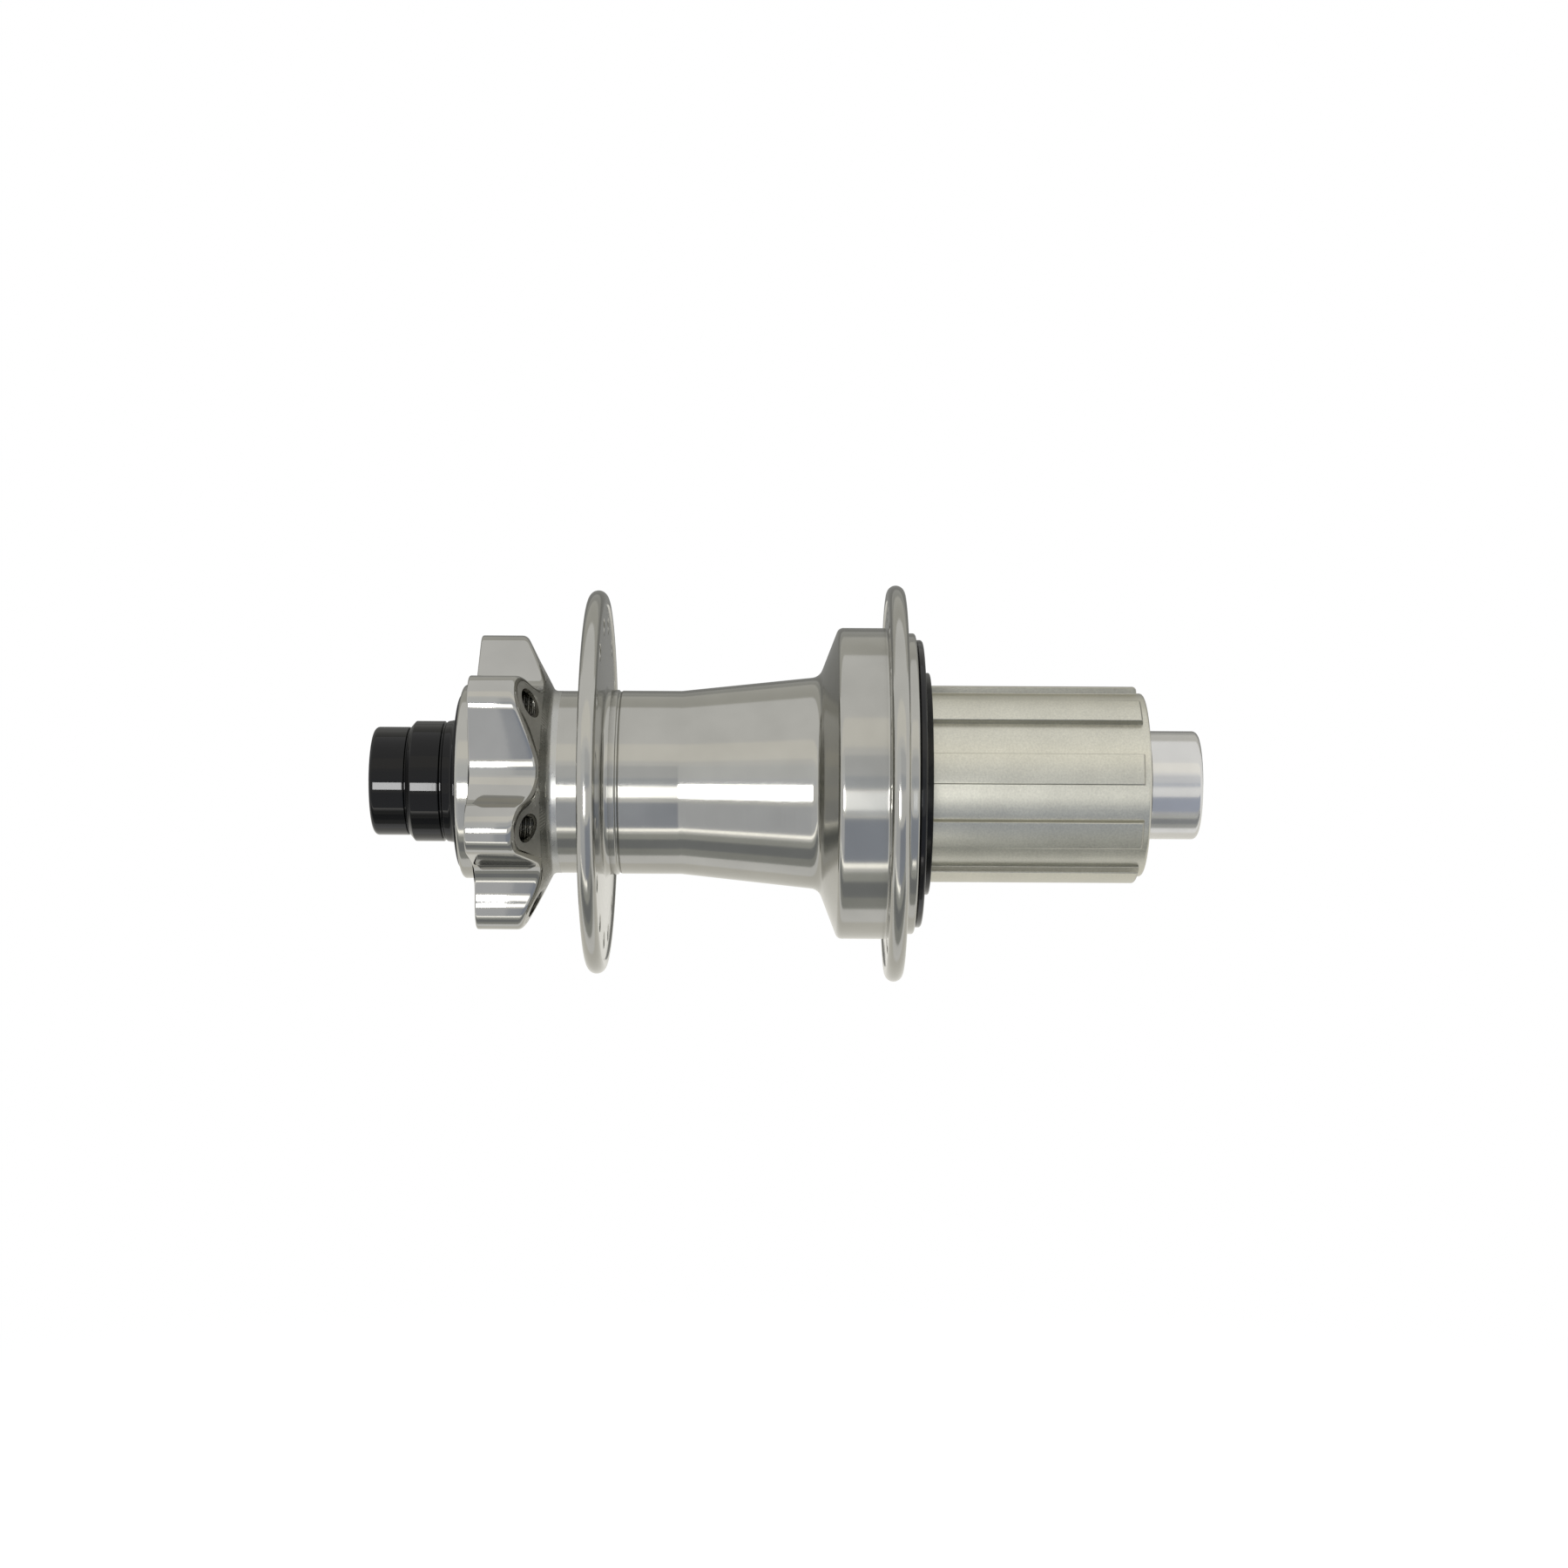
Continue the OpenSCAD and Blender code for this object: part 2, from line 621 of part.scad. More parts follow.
module inner_race(at, w, r_out, ball_d) color("gray") on_axle() difference() {
    ring(axle_r + seat_gap, pitch_r(r_out) - ball_d * (0.5 - race_open / 2), at, at + w);
    ball_groove(at, w, r_out, ball_d);
}

module outer_race(at, w, r_out, ball_d) color("gray") on_axle() difference() {
    ring(pitch_r(r_out) + ball_d * (0.5 - race_open / 2), r_out, at, at + w);
    ball_groove(at, w, r_out, ball_d);
}

module ball_groove(at, w, r_out, ball_d) translate([0, 0, at + w / 2])
    rotate_extrude() translate([pitch_r(r_out), 0]) circle(r = ball_d / 2 + pivot_gap, $fn = 32);

module balls(at, w, r_out, ball_d) color("whitesmoke") on_axle()
    around(ball_count(r_out, ball_d), 0) translate([pitch_r(r_out), 0, at + w / 2]) sphere(d = ball_d, $fn = 32);

module cage(at, w, r_out, ball_d) color("khaki") on_axle() difference() {
    ring(pitch_r(r_out) - cage_t / 2, pitch_r(r_out) + cage_t / 2,
        at + w / 2 - ball_d / 2 - cage_w, at + w / 2 + ball_d / 2 + cage_w);
    around(ball_count(r_out, ball_d), 0) translate([pitch_r(r_out) - cage_t, 0, at + w / 2])
        rotate([0, 90, 0]) cylinder(r = ball_d / 2 + pivot_gap, h = 2 * cage_t, $fn = 32);
}

module bearing_seals(at, w, r_out, ball_d) color("dimgray") on_axle() {
    r_in = pitch_r(r_out) - ball_d * (0.5 - race_open / 2) + pivot_gap * 2;
    r_seat = pitch_r(r_out) + ball_d * (0.5 - race_open / 2) - seat_gap;
    ring(r_in, r_seat, at + seal_in_from_face, at + seal_in_from_face + seal_t);
    ring(r_in, r_seat, at + w - seal_in_from_face - seal_t, at + w - seal_in_from_face);
}

axle();
left_end_cap();
right_end_cap();
oring(left_oring_at);  // left_cap_oring
oring(right_oring_at);  // right_cap_oring
drive_spacer();
freehub_spacer();
hub_shell();
ratchet_ring();
left_dust_seal();
inner_race(left_bearing_at, shell_bearing_w, shell_r, shell_ball_d);  // left_inner_race
outer_race(left_bearing_at, shell_bearing_w, shell_r, shell_ball_d);  // left_outer_race
balls(left_bearing_at, shell_bearing_w, shell_r, shell_ball_d);  // left_balls
cage(left_bearing_at, shell_bearing_w, shell_r, shell_ball_d);  // left_cage
bearing_seals(left_bearing_at, shell_bearing_w, shell_r, shell_ball_d);  // left_bearing_seals
inner_race(drive_bearing_at, shell_bearing_w, shell_r, shell_ball_d);  // drive_inner_race
outer_race(drive_bearing_at, shell_bearing_w, shell_r, shell_ball_d);  // drive_outer_race
balls(drive_bearing_at, shell_bearing_w, shell_r, shell_ball_d);  // drive_balls
cage(drive_bearing_at, shell_bearing_w, shell_r, shell_ball_d);  // drive_cage
bearing_seals(drive_bearing_at, shell_bearing_w, shell_r, shell_ball_d);  // drive_bearing_seals
freehub_body();
drive_seal();
circlip();
inner_race(inboard_at, hub_bearing_w, hub_r, hub_ball_d);  // inboard_inner_race
outer_race(inboard_at, hub_bearing_w, hub_r, hub_ball_d);  // inboard_outer_race
balls(inboard_at, hub_bearing_w, hub_r, hub_ball_d);  // inboard_balls
cage(inboard_at, hub_bearing_w, hub_r, hub_ball_d);  // inboard_cage
bearing_seals(inboard_at, hub_bearing_w, hub_r, hub_ball_d);  // inboard_bearing_seals
inner_race(outboard_at, hub_bearing_w, hub_r, hub_ball_d);  // outboard_inner_race
outer_race(outboard_at, hub_bearing_w, hub_r, hub_ball_d);  // outboard_outer_race
balls(outboard_at, hub_bearing_w, hub_r, hub_ball_d);  // outboard_balls
cage(outboard_at, hub_bearing_w, hub_r, hub_ball_d);  // outboard_cage
bearing_seals(outboard_at, hub_bearing_w, hub_r, hub_ball_d);  // outboard_bearing_seals
pawl(1);  // pawl_1
pawl(2);  // pawl_2
pawl(3);  // pawl_3
pawl(4);  // pawl_4
pawl(5);  // pawl_5
pawl(6);  // pawl_6
pawl_spring(1);  // pawl_spring_1
pawl_spring(2);  // pawl_spring_2
pawl_spring(3);  // pawl_spring_3
pawl_spring(4);  // pawl_spring_4
pawl_spring(5);  // pawl_spring_5
pawl_spring(6);  // pawl_spring_6
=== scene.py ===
"""Looks of a rear bicycle hub with a disc mount on one side and a splined freehub on the other.

Sizes in the classes are millimetres. A place on the hub is given as a radius, an angle from upright that
turns towards the camera, and a place along the axle line that grows towards the drive side.
"""

import logging
import math
from collections.abc import Sequence
from dataclasses import dataclass, field
from enum import Enum

import bmesh
import bpy
import numpy as np
from bpy.types import ID, Material, Node, NodeSocket, NodeTree, Object
from mathutils import Matrix


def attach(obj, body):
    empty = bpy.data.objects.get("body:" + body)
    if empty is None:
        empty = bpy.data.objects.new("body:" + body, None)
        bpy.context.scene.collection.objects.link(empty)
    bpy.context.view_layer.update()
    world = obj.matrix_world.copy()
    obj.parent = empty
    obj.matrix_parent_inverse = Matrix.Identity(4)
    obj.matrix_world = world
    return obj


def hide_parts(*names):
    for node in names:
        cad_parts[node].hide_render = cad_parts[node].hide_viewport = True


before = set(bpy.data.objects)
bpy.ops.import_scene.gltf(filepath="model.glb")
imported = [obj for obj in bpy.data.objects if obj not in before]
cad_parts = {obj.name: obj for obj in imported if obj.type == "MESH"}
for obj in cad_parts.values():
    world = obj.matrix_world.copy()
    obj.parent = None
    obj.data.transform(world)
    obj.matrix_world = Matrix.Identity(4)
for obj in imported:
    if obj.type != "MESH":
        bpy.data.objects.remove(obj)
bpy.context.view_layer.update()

LOG = logging.getLogger("hub")
Array = np.ndarray
MM = 0.001
WELD = 1e-6
# A corner that turns by fewer radians stays sharp, and a rounding takes up at most this share of a side.
LEAST_TURN, MOST_REACH = 0.01, 0.45
# Guard points stand this far outside a rounding, or this share of the side where that is less.
GUARD, GUARD_SHARE = 0.25, 0.04
# A noise texture's values mostly lie between these two.
NOISE_LOW, NOISE_HIGH = 0.3, 0.7


# ---- Points and outlines ----


def joined(*parts: Array | float) -> Array:
    """Spreads coordinates to one shape and joins them along a last axis."""
    return np.stack(np.broadcast_arrays(*parts), axis=-1)


def around(radius: Array, angle: Array, along: Array) -> Array:
    """Places points round the axle line: x = -r sin a, y = -u, z = r cos a.

    Args:
        radius: Distance from the axle line.
        angle: Degrees from upright, positive towards the camera.
        along: Place along the axle line, positive towards the drive side.

    Returns:
        The points, with a last axis of three.
    """
    turn = np.radians(angle)
    return joined(-radius * np.sin(turn), -along, radius * np.cos(turn))


def even_angles(count: int = 192) -> Array:
    """Even angles in degrees, once round the axle line."""
    return np.arange(count) * 360 / count


def directions(angle: Array | float) -> Array:
    """Unit directions as (sideways, outwards) at angles in radians from upright."""
    return joined(np.sin(angle), np.cos(angle))


def polar(flat: Array) -> tuple[Array, Array]:
    """Radius, and angle in degrees, of points given as (sideways, outwards)."""
    return np.hypot(flat[..., 0], flat[..., 1]), np.degrees(np.arctan2(flat[..., 0], flat[..., 1]))


def unit(vectors: Array) -> Array:
    """Vectors along the last axis, scaled to a length of one."""
    return vectors / np.linalg.norm(vectors, axis=-1, keepdims=True)


def rounded(corners: Sequence[tuple[float, float, float]], step: float = 11.0) -> Array:
    """Rounds the corners of an outline.

    A rounding is the arc that touches both sides of its corner, with its centre on the bisector. A guard
    point on each side of the arc keeps the shading of the long faces flat.

    Args:
        corners: Each corner as (radius, along, rounding).
        step: Degrees of turn for each piece of an arc.

    Returns:
        The outline's points as (radius, along).
    """
    places = [np.array(corner[:2], dtype=float) for corner in corners]
    outline = [places[0]]
    for before, here, after, corner in zip(places, places[1:], places[2:], corners[1:]):
        size = corner[2]
        back, ahead = before - here, after - here
        back_len, ahead_len = np.linalg.norm(back), np.linalg.norm(ahead)
        back, ahead = back / back_len, ahead / ahead_len
        turn = math.pi - math.acos(float(np.clip(back @ ahead, -1.0, 1.0)))
        if size <= 0 or turn < LEAST_TURN:
            outline.append(here)
            continue
        reach = min(size * math.tan(turn / 2), MOST_REACH * back_len, MOST_REACH * ahead_len)
        middle = here + (back + ahead) / np.linalg.norm(back + ahead) * reach / math.sin(turn / 2)
        start, end = here + back * reach - middle, here + ahead * reach - middle
        part = np.linspace(0.0, 1.0, max(3, math.ceil(math.degrees(turn) / step) + 1))[:, None]
        arc = middle + (np.sin((1 - part) * turn) * start + np.sin(part * turn) * end) / math.sin(turn)
        first = here + back * (reach + min(GUARD, GUARD_SHARE * back_len))
        last = here + ahead * (reach + min(GUARD, GUARD_SHARE * ahead_len))
        outline.extend(np.vstack([first, arc, last]))
    outline.append(places[-1])
    return np.array(outline)


# ---- Meshes ----


def quads_of(index: Array) -> list[list[int]]:
    """Four-sided faces between the rows and columns of a grid of point numbers."""
    corners = [index[:-1, :-1], index[1:, :-1], index[1:, 1:], index[:-1, 1:]]
    return np.stack(corners, axis=-1).reshape(-1, 4).tolist()


def placed(name: str, data: ID) -> Object:
    """Makes an object at the origin and links it to the scene."""
    thing = bpy.data.objects.new(name, data)
    bpy.context.scene.collection.objects.link(thing)
    return thing


@dataclass
class Surface:
    """Grids of points that become one closed mesh."""

    name: str
    points: list[Array] = field(default_factory=list)
    faces: list[list[int]] = field(default_factory=list)
    marks: list[int] = field(default_factory=list)
    count: int = 0

    def grid(self, points: Array, mark: int = 0, ring_rows: bool = False, ring_columns: bool = True) -> None:
        """Adds a grid of four-sided faces.

        Args:
            points: Rows by columns by three.
            mark: The number of the finish that its faces wear.
            ring_rows: Whether the last row joins the first.
            ring_columns: Whether the last column joins the first.
        """
        rows, columns = points.shape[:2]
        index = np.arange(rows * columns).reshape(rows, columns) + self.count
        if ring_rows:
            index = np.vstack([index, index[:1]])
        if ring_columns:
            index = np.hstack([index, index[:, :1]])
        quads = quads_of(index)
        self.points.append(points.reshape(-1, 3))
        self.faces.extend(quads)
        self.marks.extend([mark] * len(quads))
        self.count += rows * columns

    def across(self, flat: Array, along: Array, shift: float, mark: int = 0, ring: bool = True) -> None:
        """Adds a grid that is given across the axle line.

        Args:
            flat: Rows by columns by two, as (sideways, outwards).
            along: Place along the axle line of each point or row.
            shift: Degrees by which the grid is turned round the axle line.
            mark: The number of the finish that its faces wear.
            ring: Whether the last column joins the first.
        """
        radius, angle = polar(flat)
        self.grid(around(radius, angle + shift, along), mark, ring_columns=ring)

    def polygon(self, points: Array) -> None:
        """Adds one flat face.

        Args:
            points: Its corners, in order.
        """
        self.points.append(points)
        self.faces.append(list(range(self.count, self.count + len(points))))
        self.marks.append(0)
        self.count += len(points)

    def turned(self, outline: Array, angles: Array, mark: int = 0, closed: bool = False) -> None:
        """Adds the surface that an outline of (radius, along) sweeps in one turn round the axle line."""
        self.grid(around(outline[:, :1], angles[None, :], outline[:, 1:]), mark, ring_rows=closed)

    def ring(self, corners: Sequence[tuple[float, float, float]]) -> None:
        """Adds a closed turned ring. Its first corner lies within a straight side."""
        self.turned(rounded([*corners, corners[0]])[:-1], even_angles(), closed=True)

    def piece(self, body: str, finishes: "Sequence[Finish]", nodes: Sequence[str],
              crease: float = 34.0) -> None:
        """Makes the mesh and its object, welds the grids and points all faces outwards.

        Args:
            body: The moving body that carries the piece.
            finishes: The finishes, in the order of the grids' marks.
            nodes: The CAD nodes that the piece stands for.
            crease: Edges that turn by more degrees than this stay crisp.
        """
        mesh = bpy.data.meshes.new(self.name)
        mesh.from_pydata(np.concatenate(self.points) * MM, [], self.faces)
        mesh.polygons.foreach_set("material_index", np.array(self.marks, dtype=np.int32))
        work = bmesh.new()
        work.from_mesh(mesh)
        bmesh.ops.remove_doubles(work, verts=work.verts, dist=WELD)
        bmesh.ops.recalc_face_normals(work, faces=work.faces)
        work.to_mesh(mesh)
        work.free()
        mesh.polygons.foreach_set("use_smooth", np.ones(len(mesh.polygons), dtype=bool))
        mesh.set_sharp_from_angle(angle=math.radians(crease))
        for finish in finishes:
            mesh.materials.append(finish.value.material())
        thing = placed(self.name, mesh)
        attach(thing, body)
        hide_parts(*nodes)
        LOG.info("%s: %d faces on %s", self.name, len(mesh.polygons), body)


# ---- Materials ----


def colour(code: str, level: float = 1.0) -> tuple[float, float, float, float]:
    """Turns an sRGB hex colour into linear light.

    Args:
        code: Six hex digits.
        level: A factor on the linear values.

    Returns:
        Red, green, blue and an alpha of one.
    """
    values = np.array([int(code[i : i + 2], 16) for i in (0, 2, 4)]) / 255
    linear = np.where(values <= 0.04045, values / 12.92, ((values + 0.055) / 1.055) ** 2.4) * level
    return (float(linear[0]), float(linear[1]), float(linear[2]), 1.0)


def add(tree: NodeTree, kind: str, inputs: dict | None = None, **settings: object) -> Node:
    """Adds a node with its settings and its links.

    Args:
        tree: The node tree.
        kind: Blender's name of the node, after the word ShaderNode.
        inputs: Socket name or number to a value, or to another node's output, which is linked.
        settings: The node's own properties.

    Returns:
        The node.
    """
    node = tree.nodes.new("ShaderNode" + kind)
    for key, value in settings.items():
        setattr(node, key, value)
    for key, value in (inputs or {}).items():
        if isinstance(value, NodeSocket):
            tree.links.new(value, node.inputs[key])
        else:
            node.inputs[key].default_value = value
    return node


def lathe_place(tree: NodeTree) -> NodeSocket:
    """Gives each point its (along, radius, 0) in metres, which stays the same all round the axle line.

    Args:
        tree: The node tree.

    Returns:
        The vector's socket.
    """
    place = add(tree, "TexCoord").outputs["Object"]
    parts = add(tree, "SeparateXYZ", {0: place})
    across = add(tree, "CombineXYZ", {0: parts.outputs[0], 1: parts.outputs[2]})
    radius = add(tree, "VectorMath", {0: across.outputs[0]}, operation="LENGTH")
    return add(tree, "CombineXYZ", {0: parts.outputs[1], 1: radius.outputs["Value"]}).outputs[0]


def per_mm(size: float) -> float:
    """The texture scale at which one feature is this many millimetres."""
    return 1.0 / (size * MM)


def shader_of(name: str) -> tuple[Material, NodeTree]:
    """Makes an empty material.

    Args:
        name: The material's name.

    Returns:
        The material and its node tree.
    """
    material = bpy.data.materials.new(name)
    material.use_nodes = True
    material.node_tree.nodes.clear()
    return material, material.node_tree


def tinted(tree: NodeTree, noise: NodeSocket, code: str, swing: float,
           first: float = NOISE_LOW, last: float = NOISE_HIGH) -> NodeSocket:
    """Mixes a darker and a lighter tone of one colour by a noise.

    Args:
        tree: The node tree.
        noise: The noise's value.
        code: The colour's six hex digits.
        swing: How far each tone is from the colour, as a share.
        first: The noise value of the darker tone.
        last: The noise value of the lighter tone.

    Returns:
        The mixed colour's socket.
    """
    share = add(tree, "MapRange", {"Value": noise, 1: first, 2: last})
    tones = {0: share.outputs["Result"], 6: colour(code, 1 - swing), 7: colour(code, 1 + swing)}
    return add(tree, "Mix", tones, data_type="RGBA").outputs[2]


def coat(tree: NodeTree, marks: NodeSocket, roughness: float, swing: float,
         depth_mm: float, inputs: dict) -> None:
    """Ends a finish: its marks raise the surface and swing the roughness.

    Args:
        tree: The node tree.
        marks: The noise of the marks.
        roughness: The middle roughness.
        swing: How far the roughness goes to each side, as a share.
        depth_mm: Depth of the marks.
        inputs: The surface shader's other inputs.
    """
    gloss = add(tree, "MapRange", {
        "Value": marks, 1: NOISE_LOW, 2: NOISE_HIGH, 3: roughness * (1 - swing), 4: roughness * (1 + swing)})
    bump = add(tree, "Bump", {"Strength": 1.0, "Distance": depth_mm * MM, "Height": marks})
    shader = add(tree, "BsdfPrincipled", {
        "Roughness": gloss.outputs["Result"], "Normal": bump.outputs[0], **inputs})
    add(tree, "OutputMaterial", {0: shader.outputs[0]})


@dataclass(frozen=True)
class TurnedMetal:
    """Metal cut on a lathe: fine rings round the axle line, which stretch each highlight along the axle."""

    name: str
    hex: str
    roughness: float
    ring_mm: float = 0.35
    ring_depth_mm: float = 0.0006
    grain: float = 0.5
    tone: float = 0.05
    haze_mm: float = 9.0

    def material(self) -> Material:
        """Builds the finish: rings in the bump and the gloss, faint cloudy handling marks in the tone.

        Returns:
            The material.
        """
        material, tree = shader_of(self.name)
        place = add(tree, "TexCoord").outputs["Object"]
        rings = add(tree, "TexNoise", {
            "Vector": lathe_place(tree), "Scale": per_mm(self.ring_mm), "Detail": 3.0})
        clouds = add(tree, "TexNoise", {
            "Vector": place, "Scale": per_mm(self.haze_mm), "Detail": 2.0})
        tangent = add(tree, "Tangent", direction_type="RADIAL", axis="Y")
        coat(tree, rings.outputs["Fac"], self.roughness, 0.15, self.ring_depth_mm, {
            "Base Color": tinted(tree, clouds.outputs["Fac"], self.hex, self.tone), "Metallic": 1.0,
            "Anisotropic": self.grain, "Anisotropic Rotation": 0.25, "Tangent": tangent.outputs[0]})
        return material


@dataclass(frozen=True)
class BlastedMetal:
    """Metal blasted with fine grit: a satin surface with a close speckle and no direction."""

    name: str
    hex: str
    roughness: float
    grit_mm: float = 0.42
    depth_mm: float = 0.006
    speckle: float = 0.07
    cloud_mm: float = 6.0
    cloud_share: float = 0.35
    # The radii whose steep walls get painted shade, and how much darker the shade makes them.
    shaded: tuple[float, float] | None = None
    shade: float = 0.4

    def shadow(self, tree: NodeTree, base: NodeSocket) -> NodeSocket:
        """Darkens the tone between two radii: painted shade on the steep flanks of the splines.

        Args:
            tree: The node tree.
            base: The tone.

        Returns:
            The darkened tone's socket.
        """
        low, high = self.shaded
        radius = add(tree, "SeparateXYZ", {0: lathe_place(tree)}).outputs[1]
        off = add(tree, "Math", {0: radius, 1: (low + high) / 2 * MM}, operation="SUBTRACT")
        off = add(tree, "Math", {0: off.outputs[0]}, operation="ABSOLUTE")
        level = add(tree, "MapRange", {
            "Value": off.outputs[0], 1: (high - low) * 0.4 * MM, 2: (high - low) * 0.5 * MM,
            3: 1 - self.shade, 4: 1.0})
        factor = level.outputs["Result"]
        return add(tree, "VectorMath", {0: base, "Scale": factor}, operation="SCALE").outputs[0]

    def material(self) -> Material:
        """Builds the finish: grit in the bump, gloss and tone, drawn coarser than real so that it shows.

        Returns:
            The material.
        """
        material, tree = shader_of(self.name)
        place = add(tree, "TexCoord").outputs["Object"]
        grit = add(tree, "TexNoise", {
            "Vector": place, "Scale": per_mm(self.grit_mm), "Detail": 4.0})
        clouds = add(tree, "TexNoise", {
            "Vector": place, "Scale": per_mm(self.cloud_mm), "Detail": 1.0})
        mixed = add(tree, "Math", {
            0: clouds.outputs["Fac"], 1: self.cloud_share, 2: grit.outputs["Fac"]}, operation="MULTIPLY_ADD")
        base = tinted(tree, mixed.outputs[0], self.hex, self.speckle, 0.45, 0.9)
        # Painted shade on the steep flanks between the two radii.
        if self.shaded:
            base = self.shadow(tree, base)
        coat(tree, grit.outputs["Fac"], self.roughness, 0.15, self.depth_mm, {
            "Base Color": base, "Metallic": 1.0})
        return material


@dataclass(frozen=True)
class DarkSkin:
    """A non-metal skin: dyed anodising, rubber or moulded plastic, with fine marks in its gloss."""

    name: str
    hex: str
    roughness: float
    ior: float = 1.5
    mark_mm: float = 0.3
    depth_mm: float = 0.0008
    turned: bool = False
    tone: float = 0.12

    def material(self) -> Material:
        """Builds the finish. Marks run in rings where the piece was turned, else in all directions.

        Returns:
            The material.
        """
        material, tree = shader_of(self.name)
        place = lathe_place(tree) if self.turned else add(tree, "TexCoord").outputs["Object"]
        marks = add(tree, "TexNoise", {
            "Vector": place, "Scale": per_mm(self.mark_mm), "Detail": 3.0}).outputs["Fac"]
        coat(tree, marks, self.roughness, 0.2, self.depth_mm, {
            "Base Color": tinted(tree, marks, self.hex, self.tone), "Metallic": 0.0, "IOR": self.ior})
        return material


class Finish(Enum):
    """The finishes of the hub, each named for what the piece is made of and how it was made."""

    # Clear anodised turned aluminium: grey, with crisp bands of light that run along the barrel.
    SHELL = TurnedMetal("turned_aluminium_clear_anodised", "A9A8A2", 0.14, grain=0.6)
    # The milled tabs share the colour but have no long rings.
    TABS = TurnedMetal("milled_aluminium_clear_anodised", "AAA9A4", 0.08, ring_mm=0.5, grain=0.3)
    # The cutter left the sloped backs duller. Their tone, paler than the tabs', is painted light that makes
    # up for light the backs lack.
    TAB_BACKS = BlastedMetal("milled_aluminium_satin", "D6D5D1", 0.4, grit_mm=0.6, depth_mm=0.001,
                             speckle=0.03)
    # The fillet at the foot of the backs was turned, so it is a little glossier than they are.
    FILLET = BlastedMetal("turned_aluminium_satin", "B2B2AE", 0.3, grit_mm=0.6, depth_mm=0.001,
                          speckle=0.03)
    # Tapped threads: darker than the tabs, as painted shade deep in the bolt holes.
    THREADS = BlastedMetal("tapped_aluminium_painted_shade", "6A6963", 0.26, depth_mm=0.001, speckle=0.1)
    # Black dyed anodising over polished aluminium: nearly black with hard white glints.
    BLACK_CAP = DarkSkin("black_anodised_aluminium", "030303", 0.045, ior=1.34, mark_mm=0.25, turned=True)
    # Bare polished aluminium: bright, with mirror bands.
    SILVER_CAP = TurnedMetal("polished_aluminium", "CECDCA", 0.17, grain=0.3, ring_mm=0.3,
                             ring_depth_mm=0.0003)
    # Fine blasted aluminium: warm grey satin, with painted shade on the flanks of the splines.
    FREEHUB = BlastedMetal("blasted_aluminium_warm_grey", "C7C5B8", 0.33, grit_mm=0.36, speckle=0.1,
                           depth_mm=0.009, shaded=(16.5, 17.7))
    # Dark grey on the stop ring and the hidden carrier.
    STOP_RING = BlastedMetal("dark_grey_aluminium", "272726", 0.2, speckle=0.2)
    # Moulded nitrile rubber with a wiped lip: black, glossy.
    SEAL = DarkSkin("moulded_black_rubber", "070707", 0.1, ior=1.42, mark_mm=0.8)
    # Turned axle tube and spacers.
    AXLE = TurnedMetal("turned_aluminium_bare", "B4B5B8", 0.22)
    # Ground bearing races and lapped balls.
    RACE = TurnedMetal("ground_bearing_steel", "B9B9BC", 0.1, ring_mm=0.2, grain=0.6)
    BALL = BlastedMetal("lapped_bearing_steel", "C4C4C8", 0.06, depth_mm=0.0002, speckle=0.02)
    # Hardened steel keeps a dark heat tint.
    RATCHET = BlastedMetal("hardened_ratchet_steel", "6A6866", 0.28, speckle=0.1)
    PAWL = BlastedMetal("hardened_pawl_steel", "78746E", 0.24, speckle=0.1)
    # Rolled spring steel: smooth, warm grey.
    SPRING = BlastedMetal("blue_spring_steel", "8C8676", 0.2, depth_mm=0.001, speckle=0.05)
    # Moulded polymer cages: pale brown satin.
    CAGE = DarkSkin("moulded_cage_polymer", "C9B26E", 0.4, mark_mm=0.6, tone=0.06)


# ---- The hub's pieces ----


